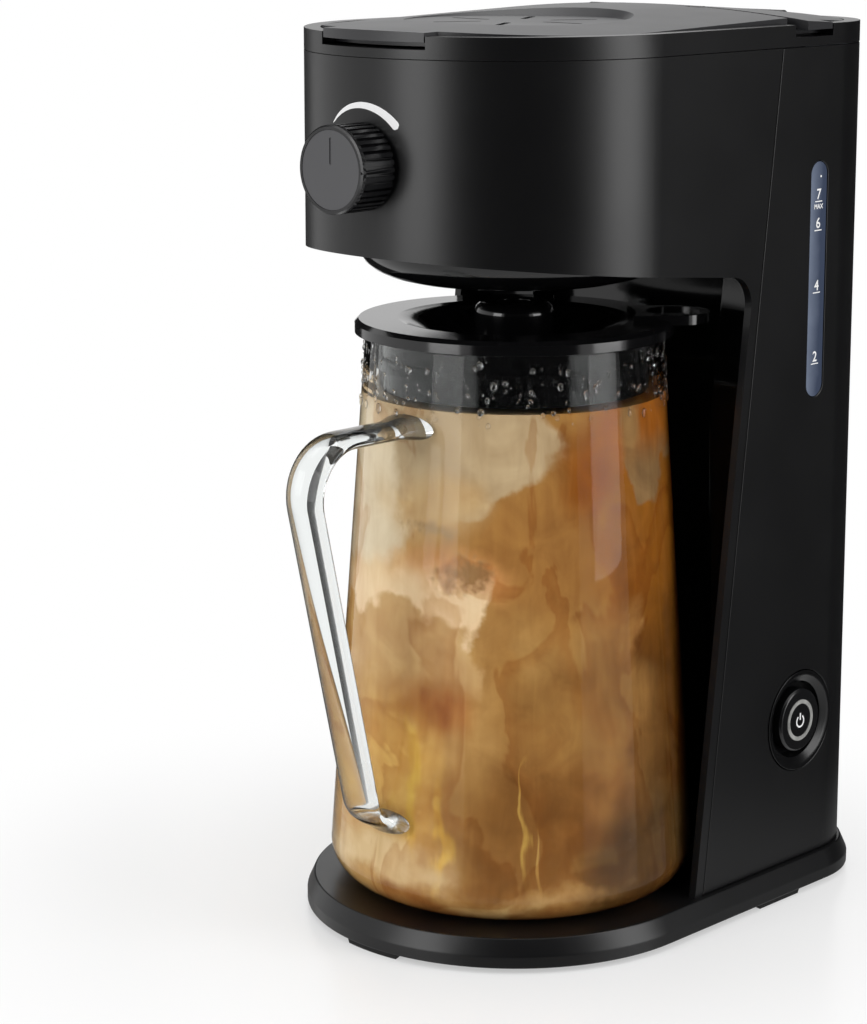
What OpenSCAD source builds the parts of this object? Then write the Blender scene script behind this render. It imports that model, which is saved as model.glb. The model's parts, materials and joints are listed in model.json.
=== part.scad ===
// Iced tea maker with a glass jug, a hinged brew lid, a tank lid,
// a strength knob and a power button.
// The origin is under the middle of the whole machine, on the table.
// The front is at -Y, and the jug stands on its own axis in front of the tower.

/* [Housing] */
// Width of the head and the tower
body_w = 145; // [142:0.5:150]
// Jug axis to the front of the head and the base
head_front = 77.5; // [76:0.5:82]
// Jug axis to the back of the tower
tower_rear = 133; // [130:0.5:138]
// Radius of the tower's back corners
rear_corner_r = 34; // [30:1:40]
// Wall of the moulded housings
wall = 3; // [2.4:0.1:3.4]
// Height of the seam under the top collar
collar_z = 322; // [318:1:330]
// Height of the front bottom edge of the head
head_edge_z = 253.7; // [251:0.1:257]
// Slope of the head's bottom edge
under_lean = 5.9; // [5:0.1:6.5]
// Lean of the seam between the front housing and the back shell
seam_lean = 6.9; // [6:0.1:7.5]
// Jug axis to that seam, at the collar
seam_top_y = 62.8; // [61:0.1:65]
// Width of the front housing's strip beside the jug
strip_w = 4.5; // [4:0.1:6]
// Radius where the head meets that strip
bay_corner_r = 11; // [8:0.5:14]

/* [Base] */
// Width of the base
base_w = 155; // [153:0.5:160]
// Jug axis to the back of the base
base_rear = 135.5; // [134.5:0.5:141]
// Radius of the base's back corners
base_corner_r = 38; // [34:1:43]
// Height of the rubber feet
foot_h = 2; // [1.8:0.1:3]
// Radius of the rubber feet
foot_r = 13; // [11:0.5:15]
// Thickness of the base
base_t = 10.4; // [10:0.1:12]
// Height of the base's upright edge
base_edge_h = 4.4; // [4:0.1:5]
// Width of the slope round the base's top
base_slope_w = 2.7; // [2:0.1:3.2]
// Thickness of the bottom cover
cover_t = 2; // [1.6:0.1:2.4]

/* [Top] */
// Height of the top collar
collar_h = 8; // [7.5:0.1:9]
// Width of the collar's rim
rim_w = 6; // [5.5:0.1:6.5]
// Width of the ledge that carries the lids
ledge_w = 4; // [3:0.1:5]
// Height of that ledge
ledge_h = 4; // [3.5:0.1:4.2]
// Height of the lids' ridge above the collar
ridge_rise = 5.5; // [5:0.1:6]
// Height of the lids' outer edge above the collar
edge_rise = 1.5; // [1.2:0.1:2]
// How far the lids fall from their middle to their sides
lid_crown = 4; // [3:0.1:4.5]
// Jug axis to the front lid's hinge
hinge_y = 74; // [72:0.5:75]
// Radius of the hinge knuckles
knuckle_r = 2.8; // [2.6:0.1:3]
// Radius of the hinge pins
pin_r = 1.2; // [1:0.05:1.4]
// Half the length of a lid's own knuckle
knuckle_half = 21; // [16:1:26]
// Length of each fixed knuckle beside it
ear_w = 6; // [4:0.5:8]
// Half the width of the finger recess at the front
recess_half = 24.6; // [20:0.1:30]
// Length of the finger recesses at the sides
side_recess_l = 23; // [18:0.5:26]
// Radius of the round dish in the front lid
dish_r = 47; // [42:0.5:50]
// Radius of the dish's floor
dish_floor_r = 40; // [36:0.5:41]
// Number of steam slots
slot_n = 6; // [4:1:8]
// Width of the steam slots
slot_w = 2.5; // [2:0.1:3]
// Inner end of the steam slots
slot_in = 13; // [11:0.5:15]
// Outer end of the steam slots
slot_out = 31; // [26:0.5:34]

/* [Jug] */
// Radius of the jug at its foot
jug_r = 68.3; // [66:0.1:69]
// Radius of the jug at its mouth
mouth_r = 54.7; // [53:0.1:56]
// Height of the jug
jug_h = 206.5; // [203:0.5:208]
// Wall of the glass
glass_wall = 2.6; // [2:0.1:3]
// Thickness of the glass floor
glass_floor = 5; // [4:0.5:7]
// Rounding of the jug's foot
jug_round = 14; // [10:0.5:18]
// Width of the handle across the machine
handle_w = 17.5; // [15:0.5:20]
// Thickness of the handle
handle_t = 6.4; // [5.6:0.1:7.5]
// Jug axis to the front of the handle
handle_reach = 110.5; // [106:0.5:116]
// Height of the handle's top arm above the jug's foot
handle_top_h = 178.4; // [174:0.2:182]
// Radius of the handle's upper bend
handle_bend_r = 18.5; // [14:0.5:22]
// Lean of the handle's grip
grip_lean = 13.3; // [11:0.1:15]
// Length of the handle's grip
grip_l = 113.5; // [106:0.5:117]
// Radius of the handle's lower bend
handle_foot_r = 10; // [8:0.5:14]
// Slope of the handle's lower arm
foot_lean = 65; // [55:1:75]

/* [Jug lid] */
// Radius of the lid's flange
flange_r = 58.5; // [57:0.1:60]
// Thickness of the flange
flange_t = 5; // [4:0.1:5.5]
// Inner radius of the flange, where the funnel starts
funnel_r = 43; // [40:0.5:46]
// Depth of the funnel
funnel_depth = 11; // [8:0.5:12]
// Wall of the lid
lid_wall = 2.2; // [1.8:0.1:2.6]
// Radius of the lid's hub
hub_r = 14.5; // [12:0.5:17]
// Height of the hub above the flange
hub_rise = 6; // [4:0.5:7]
// Rounding of the hub's top edge
hub_round = 4; // [3:0.5:5]
// Radius of the hub's opening
hub_hole_r = 6; // [5:0.5:7]
// Depth of the lid's skirt in the jug's mouth
skirt_h = 20; // [17:0.5:22]
// Jug axis to the tip of the pouring tab
tab_reach = 72; // [68:0.5:72.5]
// Width of the pouring tab
tab_w = 26; // [20:1:30]
// Direction of the pouring tab
tab_turn = 45; // [35:1:55]

/* [Brewing] */
// Outer radius of the brew chamber
chamber_r = 57; // [55:0.5:58]
// Drop from the head's front edge to the chamber's floor
chamber_hang = 14.2; // [12:0.2:16]
// Drop from the collar's seam to the chamber's rim
chamber_drop = 16; // [14:0.5:18]
// Radius of the chamber's flat floor
bowl_floor_r = 38; // [34:0.5:42]
// Height of the chamber's rounded side
bowl_h = 12; // [10:0.5:13]
// Wall of the brew chamber and the basket
brew_wall = 2.2; // [1.8:0.1:2.6]
// Depth of the steeping basket
basket_h = 54; // [48:0.5:56]
// Radius of the chamber's outlet
outlet_r = 4; // [3:0.5:6]

/* [Water] */
// Height of the tank's floor above the table
tank_z = 165; // [160:1:172]
// Wall of the tank
tank_wall = 2; // [1.6:0.1:2.4]
// Width of the pipe channel beside the tank
pipe_channel_w = 17; // [16:0.5:20]
// Radius of the water pipes
pipe_r = 4.5; // [4:0.1:5]
// Wall of the hoses
hose_wall = 2; // [1.6:0.1:2.4]
// Height of the heater's middle above the base
heater_rise = 24; // [22:0.5:28]
// Length of the heater
heater_l = 96; // [88:1:104]
// Width of the gauge window
gauge_w = 10; // [8:0.2:12]
// Height of the gauge window
gauge_h = 88; // [80:1:92]
// Height of the gauge window's lower end
gauge_z = 192; // [188:1:196]
// Jug axis to the gauge window
gauge_y = 87; // [86:0.5:90]

/* [Controls] */
// Height of the strength knob
knob_z = 285; // [282:0.5:288]
// Diameter of the knob
knob_d = 30.6; // [28:0.2:33]
// Jug axis to the knob's face
knob_face = 94; // [92:0.5:97]
// Ribs round the knob
knob_ribs = 36; // [24:1:40]
// Radius of the knob's shaft
shaft_r = 3; // [2.5:0.1:3.5]
// Radius of the power button's bezel
bezel_r = 19.5; // [18.5:0.1:21]
// Radius of the well in the bezel
well_r = 14.8; // [14.2:0.1:15.6]
// Radius of the button
button_r = 12.25; // [11:0.25:13]
// Radius of the light ring on the button
light_r = 8; // [7:0.1:9]
// Travel of the button
button_travel = 2; // [1.5:0.1:2.4]
// Height of the button
button_z = 67.5; // [64:0.5:72]
// Jug axis to the button
button_y = 83; // [80:0.5:86]

/* [Clearances] */
// Gap between fixed mouldings
fit_gap = 0.2; // [0.1:0.05:0.3]
// Gap round a moving lid or button
move_gap = 0.5; // [0.4:0.05:0.7]
// Radial clearance of a shaft in its bore
run_gap = 0.05; // [0.02:0.01:0.08]
// Gap between the jug and what it passes
jug_clearance = 2; // [1.5:0.1:3]

/* [Hidden] */
$fn = 96;
tiny = 0.01;
far = 400;

// Colours of the mouldings, the glass and the metals
housing_black = [0.09, 0.09, 0.10];
gloss_black = [0.04, 0.04, 0.05];
lid_black = [0.14, 0.14, 0.15];
rubber_grey = [0.10, 0.10, 0.10];
clear_glass = [0.85, 0.92, 0.95, 0.4];
frosted_blue = [0.62, 0.68, 0.78];
steel = [0.75, 0.76, 0.78];
silicone = [0.86, 0.86, 0.84];
light_white = [0.85, 0.87, 0.88];

// Places worked out from the driving sizes
jug_y = (handle_reach - base_rear) / 2;
half_w = body_w / 2;
base_top = foot_h + base_t;
jug_z = base_top + fit_gap;
jug_top = jug_z + jug_h;
collar_top = collar_z + collar_h;
ledge_z = collar_z + ledge_h;
lid_z = ledge_z + fit_gap;
chamber_z = head_edge_z - chamber_hang;
chamber_top_z = collar_z - chamber_drop;
ridge_z = collar_top + ridge_rise;
edge_z = collar_top + edge_rise;
bay_r = max(jug_r, tab_reach) + jug_clearance;
panel_t = wall;
panel_set = 12;
cup_depth = 9;
switch_l = 12.5;
switch_room = 2;
channel_half = half_w - cup_depth - switch_l - panel_t - switch_room;
channel_y = bay_r + 1;
floor_t = 2.5;
floor_ledge = 3;
floor_z = head_edge_z + floor_ledge;
floor_rear = channel_y + panel_t;
tank_front = floor_rear + fit_gap;

// The seam and the strip lean back, and the head's bottom edge falls to the back
function seam_y(z) = seam_top_y - (collar_z - z) * tan(seam_lean);
function strip_y(z) = seam_y(z) - strip_w;
function under_z(y) = head_edge_z - (y + head_front) * tan(under_lean);
function panel_y(z) = seam_y(z) + panel_set;

// Moves a piece drawn about the jug's axis to its place in the machine
module at_jug() translate([0, jug_y, 0]) children();

// Stands a profile drawn as (y, z) up across the machine
module across(width) rotate([90, 0, 90]) linear_extrude(width, center = true) children();

// Turns a shape drawn up the Z axis to point forward, and to the machine's right
module forward(z) translate([0, 0, z]) rotate([90, 0, 0]) children();
module sideways(y, z) translate([half_w, y, z]) rotate([0, 90, 0]) children();

module slab(z0, z1) translate([0, 0, z0]) linear_extrude(z1 - z0) children();

// Outline with a round front, straight sides and rounded back corners
module d_outline(w, front, rear, corner) {
    side_l = rear - corner - w / 2 + front;
    translate([0, w / 2 - front]) circle(w / 2);
    translate([-w / 2, w / 2 - front]) square([w, side_l]);
    translate([-w / 2 + corner, 0]) square([w - 2 * corner, rear]);
    for (side = [-1, 1]) translate([side * (w / 2 - corner), rear - corner]) circle(corner);
}

module body_outline(inset = 0)
    d_outline(body_w - 2 * inset, head_front - inset, tower_rear - inset, rear_corner_r - inset);

module base_outline(inset = 0)
    d_outline(base_w - 2 * inset, head_front - inset, base_rear - inset, base_corner_r - inset);

// All that lies behind the leaning seam, moved back by a distance
module behind_seam(shift) across(2 * far)
    polygon([
        [seam_y(0) + shift, 0], [far, 0], [far, far], [seam_y(far) + shift, far]
    ]);

// The open bay under the head, with a rounded corner where it meets the strips
module bay() {
    lean_u = tan(under_lean);
    lean_s = tan(seam_lean);
    corner_y = (seam_top_y - strip_w + (head_edge_z - head_front * lean_u - collar_z) * lean_s)
        / (1 + lean_u * lean_s);
    corner = [corner_y, under_z(corner_y)];
    along_under = [-cos(under_lean), sin(under_lean)];
    along_strip = [-sin(seam_lean), -cos(seam_lean)];
    angle = acos(along_under * along_strip);
    centre = corner + (along_under + along_strip) * bay_corner_r / sin(angle);
    reach = bay_corner_r / tan(angle / 2);
    across(2 * far) difference() {
        polygon([[-far, 0], [-far, under_z(-far)], corner, [strip_y(0), 0]]);
        difference() {
            polygon([corner, corner + along_under * reach, centre, corner + along_strip * reach]);
            translate(centre) circle(bay_corner_r);
        }
    }
}

// Rounded slot drawn upright, from its lower end to its upper end
module stadium(width, height) {
    translate([0, width / 2]) circle(width / 2);
    translate([0, height - width / 2]) circle(width / 2);
    translate([-width / 2, width / 2]) square([width, height - width]);
}

// Round bar between two points, with a ball at its far end
module bar(from, to, r) {
    way = to - from;
    translate(from)
        rotate([0, acos(way.z / norm(way)), atan2(way.y, way.x)]) cylinder(norm(way), r, r);
}

// Base, feet and bottom cover
cover_inset = 7;
cover_z = foot_h;
pocket_h = 5;
foot_edge = 1.2;
side_foot_y = base_rear / 2;
foot_points = [
    [0, -head_front], [-base_w / 2, side_foot_y], [base_w / 2, side_foot_y],
    [-base_w / 2 + base_corner_r, base_rear], [base_w / 2 - base_corner_r, base_rear]
];
screw_r = 1.5;
screw_head_r = 3.2;
screw_head_h = 1.4;
screw_inset = cover_inset + 15;
base_screw_points = [
    for (side = [-1, 1], y = [-0.4 * head_front, 0.36 * base_rear]) [side * (base_w / 2 - screw_inset), y]
];

module base_block() {
    corner_x = base_w / 2 - base_corner_r;
    slope_z = foot_h + base_edge_h;
    slope_h = base_t - base_edge_h;
    front_y = base_w / 2 - head_front;
    corner_y = base_rear - base_corner_r;
    slab(foot_h, slope_z) base_outline();
    translate([0, front_y, slope_z]) cylinder(slope_h, base_w / 2, base_w / 2 - base_slope_w);
    for (side = [-1, 1])
        translate([side * corner_x, corner_y, slope_z])
            cylinder(slope_h, base_corner_r, base_corner_r - base_slope_w);
    translate([0, corner_y, slope_z]) rotate([90, 0, 0]) linear_extrude(corner_y - front_y)
        polygon([
            [-base_w / 2, 0], [base_w / 2, 0],
            [base_w / 2 - base_slope_w, slope_h], [base_slope_w - base_w / 2, slope_h]
        ]);
    translate([0, 0, slope_z]) across(2 * corner_x)
        polygon([[0, 0], [base_rear, 0], [base_rear - base_slope_w, slope_h], [0, slope_h]]);
}

module base_plate() color(housing_black) at_jug() difference() {
    base_block();
    difference() {
        slab(foot_h - tiny, foot_h + pocket_h) base_outline(cover_inset);
        for (p = base_screw_points)
            translate([p.x, p.y, cover_z + cover_t]) cylinder(pocket_h, 4.5, 4.5);
    }
    for (p = base_screw_points)
        translate([p.x, p.y, 0]) cylinder(foot_h + pocket_h, screw_r + fit_gap, screw_r + fit_gap);
}

module bottom_cover() color(housing_black) at_jug() difference() {
    slab(cover_z, cover_z + cover_t) base_outline(cover_inset + fit_gap);
    for (p = base_screw_points)
        translate([p.x, p.y, 0]) cylinder(base_top, screw_r + fit_gap, screw_r + fit_gap);
}

module rubber_feet() color(rubber_grey) at_jug()
    for (p = foot_points) intersection() {
        slab(0, cover_z) base_outline(foot_edge);
        translate([p.x, p.y, 0]) cylinder(cover_z, foot_r - 1, foot_r);
    }

module base_screws() color(steel) at_jug()
    for (p = base_screw_points) translate([p.x, p.y, cover_z - screw_head_h]) {
        cylinder(screw_head_h, screw_head_r, screw_head_r);
        cylinder(screw_head_h + pocket_h - 1, screw_r, screw_r);
    }

// Housings of the head and the tower
bush_r = 6;
knob_gap = 0.6;
gland_z = base_top + 16;
gland_r = 7;

module front_housing() color(housing_black) at_jug() difference() {
    union() {
        difference() {
            slab(base_top, collar_z) body_outline();
            slab(base_top - tiny, collar_z + tiny) body_outline(wall);
        }
        slab(head_edge_z, floor_z) difference() {
            body_outline(wall / 2);
            body_outline(wall + floor_ledge);
        }
    }
    behind_seam(-fit_gap);
    bay();
    forward(knob_z) cylinder(far, bush_r, bush_r);
}

module back_shell() color(housing_black) at_jug() difference() {
    intersection() {
        slab(base_top, collar_z) body_outline();
        behind_seam(fit_gap);
    }
    slab(base_top - tiny, collar_z + tiny) body_outline(wall);
    slab(collar_z - tank_flange_t, collar_z + tiny) body_outline(wall / 2);
    sideways(gauge_y, gauge_z) rotate([0, 0, 90]) translate([0, 0, -2 * wall])
        linear_extrude(3 * wall) stadium(gauge_w, gauge_h);
    sideways(button_y, button_z) translate([0, 0, -2 * wall]) cylinder(3 * wall, bezel_r, bezel_r);
    translate([0, 0, gland_z]) rotate([-90, 0, 0]) cylinder(far, gland_r, gland_r);
}

// Glossy front of the tower: a hollow behind the jug, with leaning wings beside it
module behind_panel(shift) difference() {
    behind_seam(panel_set + shift);
    translate([0, 0, -tiny]) cylinder(far, bay_r + shift, bay_r + shift);
    translate([-channel_half - shift, 0, -tiny]) cube([2 * (channel_half + shift), channel_y + shift, far]);
}

module tower_front() color(gloss_black) at_jug() difference() {
    intersection() {
        slab(base_top, floor_z - fit_gap) body_outline(wall + fit_gap);
        behind_panel(0);
    }
    behind_panel(panel_t);
}

module head_floor() color(housing_black) at_jug() difference() {
    slab(floor_z, floor_z + floor_t) intersection() {
        body_outline(wall + fit_gap);
        translate([-far, -far]) square([2 * far, far + floor_rear]);
    }
    translate([0, 0, floor_z - tiny]) cylinder(far, chamber_r + fit_gap, chamber_r + fit_gap);
    translate([riser_x, riser_y, floor_z - tiny]) cylinder(far, pipe_r + fit_gap, pipe_r + fit_gap);
}

// Top collar, the two lids and their hinges
hinge_z = ridge_z - knuckle_r - 0.3;
tank_hinge_y = tower_rear - rim_w - move_gap - knuckle_r;
tank_hinge_z = ledge_z + knuckle_r + move_gap;
ear_gap = 0.3;
ear_x = knuckle_half + ear_gap;
pin_half = ear_x + ear_w;
bridge_half = 8;
recess_z = ledge_z - 0.5;
tab_z = recess_z + 2.4;
lid_inset = rim_w + move_gap;
lid_shell = 2.2;
tank_lid_front = hinge_y + knuckle_r + 2 * move_gap;
dish_z = collar_top + 1.7;
side_recess_y = hinge_y - knuckle_r - 1;

module hinge_ears(y, z, foot_z) for (side = [-1, 1]) translate([side * (ear_x + ear_w / 2), y, 0]) {
    translate([-ear_w / 2, 0, z]) rotate([0, 90, 0]) cylinder(ear_w, knuckle_r, knuckle_r);
    translate([-ear_w / 2, -knuckle_r, foot_z]) cube([ear_w, 2 * knuckle_r, z - foot_z]);
}

module pin_hole(y, z, r) translate([-pin_half - tiny, y, z]) rotate([0, 90, 0])
    cylinder(2 * (pin_half + tiny), r, r);

module side_recess(z, shrink) for (side = [-1, 1])
    translate([side * half_w - lid_inset - 1, side_recess_y + shrink, z])
        cube([2 * lid_inset + 2, side_recess_l - 2 * shrink, collar_h]);

module front_recess(z, shrink)
    translate([-recess_half + shrink, -head_front - 1, z])
        cube([2 * (recess_half - shrink), head_front / 2, collar_h]);

module top_collar() color(housing_black) at_jug() difference() {
    union() {
        difference() {
            slab(collar_z + fit_gap, collar_top) body_outline();
            slab(collar_z, collar_top + tiny) body_outline(rim_w + ledge_w);
            slab(ledge_z, collar_top + tiny) body_outline(rim_w);
        }
        translate([-half_w + rim_w, hinge_y - bridge_half, collar_z + fit_gap])
            cube([body_w - 2 * rim_w, 2 * bridge_half, ledge_h - fit_gap - 1]);
        hinge_ears(hinge_y, hinge_z, collar_z + ledge_h / 2);
        hinge_ears(tank_hinge_y, tank_hinge_z, collar_z + ledge_h / 2);
    }
    front_recess(recess_z, 0);
    side_recess(recess_z, 0);
    pin_hole(hinge_y, hinge_z, pin_r + run_gap / 2);
    pin_hole(tank_hinge_y, tank_hinge_z, pin_r + run_gap / 2);
}

// Body under a crowned top that slopes from the ridge at the hinge to an edge
crown_r = half_w * half_w / (2 * lid_crown) + lid_crown / 2;
module under_crown(y_low, z_low, y_high, z_high) {
    slope = atan((z_high - z_low) / (y_high - y_low));
    translate([0, y_low, z_low]) rotate([slope, 0, 0]) translate([0, -far / 2, -crown_r])
        rotate([-90, 0, 0]) cylinder(far, crown_r, crown_r, $fn = 720);
}

// Hollow under a lid, which leaves its top and its skirt standing
module lid_hollow(y_edge, y_from, y_to) translate([0, 0, -lid_shell]) intersection() {
    slab(lid_z + lid_shell - tiny, dish_z) body_outline(lid_inset + 2 * lid_shell);
    under_crown(y_edge, edge_z, hinge_y, ridge_z);
    translate([-far, y_from, 0]) cube([2 * far, y_to - y_from, far]);
}

module front_lid() color(lid_black) at_jug() difference() {
    union() {
        intersection() {
            union() {
                slab(lid_z, ridge_z) body_outline(lid_inset);
                intersection() {
                    slab(tab_z, ridge_z) body_outline(fit_gap);
                    front_recess(tab_z - 1, move_gap);
                }
            }
            under_crown(-head_front, edge_z, hinge_y, ridge_z);
            translate([-far, -far, 0]) cube([2 * far, far + hinge_y - move_gap, far]);
        }
        translate([-knuckle_half, hinge_y, hinge_z]) rotate([0, 90, 0])
            cylinder(2 * knuckle_half, knuckle_r, knuckle_r);
    }
    for (side = [-1, 1])
        translate([side * (ear_x + ear_w / 2) - ear_w / 2 - ear_gap, hinge_y - knuckle_r - move_gap, 0])
            cube([ear_w + 2 * ear_gap, far, far]);
    pin_hole(hinge_y, hinge_z, pin_r + run_gap);
    lid_hollow(-head_front, -head_front, hinge_y - 2 * knuckle_r);
    translate([0, 0, dish_z]) cylinder(ridge_rise, dish_floor_r, dish_r);
    for (i = [0:slot_n - 1]) rotate([0, 0, i * 360 / slot_n + 90])
        linear_extrude(far)
            translate([0, slot_in]) stadium(slot_w, slot_out - slot_in);
}

module tank_lid() color(lid_black) at_jug() difference() {
    union() {
        intersection() {
            union() {
                intersection() {
                    slab(lid_z, ridge_z) body_outline(lid_inset);
                    translate([-far, 0, 0]) cube([2 * far, tank_hinge_y - knuckle_r / 2, far]);
                }
                intersection() {
                    slab(tab_z, ridge_z) body_outline(fit_gap);
                    side_recess(tab_z - 1, move_gap);
                }
            }
            under_crown(tower_rear, edge_z, hinge_y, ridge_z);
            translate([-far, tank_lid_front, 0]) cube([2 * far, far, far]);
        }
        translate([-knuckle_half, tank_hinge_y, tank_hinge_z]) rotate([0, 90, 0])
            cylinder(2 * knuckle_half, knuckle_r, knuckle_r);
    }
    for (side = [-1, 1])
        translate([side * (ear_x + ear_w / 2) - ear_w / 2 - ear_gap, tank_hinge_y - knuckle_r - move_gap, 0])
            cube([ear_w + 2 * ear_gap, far, far]);
    lid_hollow(tower_rear, tank_lid_front + 2 * lid_shell, tank_hinge_y - 2 * knuckle_r);
    pin_hole(tank_hinge_y, tank_hinge_z, pin_r + run_gap);
}

module hinge_pin(y, z) translate([-pin_half, y, z]) rotate([0, 90, 0]) cylinder(2 * pin_half, pin_r, pin_r);

module front_lid_pin() color(steel) at_jug() hinge_pin(hinge_y, hinge_z);
module tank_lid_pin() color(steel) at_jug() hinge_pin(tank_hinge_y, tank_hinge_z);

// Brew chamber and steeping basket
chamber_flange_t = 2.5;
boss_r = 13;
boss_face = chamber_r + 2.5;
port_r = 3;
port_offset = 7.5;
pivot_r = 2;
pivot_l = 3;
basket_gap = 1.5;
basket_taper = 3;
filter_t = 1.2;
filter_gap = 0.6;
filter_hole_r = 1.5;
basket_r = chamber_r - brew_wall - basket_gap;
basket_flange_t = 2;
lug_w = 12;
lug_h = 4;
lug_t = 3;
basket_z = chamber_top_z - basket_h;
filter_r = basket_r - brew_wall - basket_taper - filter_gap;

// Section of the bowl, drawn inward by a wall
module bowl_profile(inset) {
    floor_r = bowl_floor_r - inset / 2;
    side_w = chamber_r - inset - floor_r;
    polygon(concat(
        [[0, chamber_z + inset]],
        [
            for (a = [0:15:90])
                [floor_r + side_w * sin(a), chamber_z + inset + (bowl_h - inset) * (1 - cos(a))]
        ],
        [[chamber_r - inset, chamber_top_z + inset], [0, chamber_top_z + inset]]
    ));
}

module brew_chamber() color(gloss_black) at_jug() difference() {
    union() {
        rotate_extrude() intersection() {
            bowl_profile(0);
            square([far, chamber_top_z]);
        }
        translate([0, 0, floor_z + floor_t])
            cylinder(chamber_flange_t, chamber_r + 4, chamber_r + 4);
        forward(knob_z) cylinder(boss_face, boss_r, boss_r);
    }
    rotate_extrude() bowl_profile(brew_wall);
    translate([0, 0, chamber_z - 1]) cylinder(far, outlet_r, outlet_r);
    forward(knob_z) translate([0, 0, boss_face - pivot_l]) cylinder(far, pivot_r + run_gap, pivot_r + run_gap);
    for (side = [-1, 1]) translate([side * port_offset, 0, 0]) forward(knob_z) cylinder(far, port_r, port_r);
}

module steeping_basket() color(lid_black) at_jug() difference() {
    union() {
        translate([0, 0, basket_z]) cylinder(basket_h, basket_r - basket_taper, basket_r);
        translate([0, 0, chamber_top_z])
            cylinder(basket_flange_t, chamber_r - 0.5, chamber_r - 0.5);
        for (side = [-1, 1])
            translate([side * (basket_r - lug_t / 2) - lug_t / 2, -lug_w / 2, chamber_top_z])
                cube([lug_t, lug_w, basket_flange_t + lug_h]);
    }
    translate([0, 0, basket_z + brew_wall])
        cylinder(basket_h, basket_r - basket_taper - brew_wall, basket_r - brew_wall);
    translate([0, 0, basket_z + basket_h - tiny]) cylinder(far, basket_r - brew_wall, basket_r - brew_wall);
    for (i = [0:7]) rotate([0, 0, i * 45]) translate([0, 0, basket_z - 1]) linear_extrude(brew_wall + 2)
        translate([0, 10]) stadium(5, 30);
}

module basket_filter() color(steel) at_jug() difference() {
    translate([0, 0, basket_z + brew_wall])
        cylinder(filter_t, filter_r, filter_r);
    for (i = [0:5], r = [12:9:39]) rotate([0, 0, i * 60 + r * 2]) translate([r, 0, 0])
        cylinder(far, filter_hole_r, filter_hole_r);
}

// Water tank, pipes and heater
tank_flange_t = 2;
tank_left = -half_w + wall + pipe_channel_w;
riser_x = -half_w + wall + pipe_channel_w / 2;
riser_y = tank_front + 2;
heater_y = tower_rear - 30;
heater_z = base_top + heater_rise;
heater_w = 22;
heater_t = 18;
inlet_x = 30;
spout_z = chamber_top_z + basket_flange_t + pipe_r + 1.5;
nipple_l = 12;
pipe_wall = 1.5;
heater_stub = 5;
pipe_back = 2;
valve_r = 8;
valve_l = 22;
valve_z = (tank_z + heater_z) / 2;
hose_r = pipe_r + hose_wall;
clamp_w = 5;
stub_l = 14;

module tank_outline(inset) intersection() {
    body_outline(wall + fit_gap + inset);
    translate([tank_left + inset, tank_front + inset]) square([body_w, far]);
}

module water_tank() color(frosted_blue) at_jug() difference() {
    union() {
        slab(tank_z, collar_z) tank_outline(0);
        slab(collar_z - tank_flange_t, collar_z) intersection() {
            body_outline(wall / 2 + fit_gap);
            translate([tank_left, tank_front]) square([body_w, far]);
        }
        translate([inlet_x, heater_y, tank_z - nipple_l]) cylinder(nipple_l + tiny, pipe_r, pipe_r);
    }
    slab(tank_z + tank_wall, collar_z + tiny) tank_outline(tank_wall);
    translate([inlet_x, heater_y, tank_z - far / 2]) cylinder(far, pipe_r - pipe_wall, pipe_r - pipe_wall);
}

module gauge_window() color(frosted_blue) at_jug()
    sideways(gauge_y, gauge_z + fit_gap) rotate([0, 0, 90]) translate([0, 0, -wall - fit_gap / 2])
        linear_extrude(wall - fit_gap) stadium(gauge_w - 2 * fit_gap, gauge_h - 2 * fit_gap);

module heater() color(steel) at_jug() difference() {
    union() {
        translate([-heater_l / 2, heater_y - heater_w / 2, heater_z - heater_t / 2])
            cube([heater_l, heater_w, heater_t]);
        for (side = [-1, 1]) translate([0, heater_y - pipe_back, heater_z]) rotate([0, side * 90, 0])
            cylinder(heater_l / 2 + heater_stub, pipe_r - 1, pipe_r - 1);
        translate([inlet_x, heater_y, heater_z]) cylinder(heater_t / 2 + stub_l, pipe_r, pipe_r);
    }
    translate([inlet_x, heater_y, heater_z]) cylinder(far, pipe_r - pipe_wall, pipe_r - pipe_wall);
}

module heater_bracket() color(steel) at_jug() for (side = [-1, 1])
    translate([side * heater_l / 3, heater_y, base_top]) difference() {
        union() {
            translate([-6, -heater_w / 2 - 8, 0]) cube([12, heater_w + 16, 1.5]);
            translate([-6, -heater_w / 2, 0]) cube([12, heater_w, heater_z - heater_t / 2 - base_top]);
        }
        translate([-7, -heater_w / 2 + 2, 1.5])
            cube([14, heater_w - 4, heater_z - heater_t / 2 - base_top - 3]);
    }

thermostat_r = 9;
thermostat_h = 7;
tag_w = 3;
tag_t = 0.8;
fuse_r = 2.5;
fuse_l = 26;
lead_r = 0.8;
lead_l = 8;

module thermostat() color(steel) at_jug() translate([0, heater_y, heater_z + heater_t / 2]) {
    cylinder(thermostat_h, thermostat_r, thermostat_r);
    cylinder(tag_t, heater_w / 2, heater_w / 2);
    for (side = [-1, 1]) translate([side * thermostat_r / 2 - tag_w / 2, -tag_t / 2, thermostat_h])
        cube([tag_w, tag_t, thermostat_h]);
}

module thermal_fuse() color(steel) at_jug()
    translate([-fuse_l / 2, heater_y - heater_w / 2 - fuse_r, heater_z]) rotate([0, 90, 0]) {
        cylinder(fuse_l, fuse_r, fuse_r);
        translate([0, 0, -lead_l]) cylinder(fuse_l + 2 * lead_l, lead_r, lead_r);
    }

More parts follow.
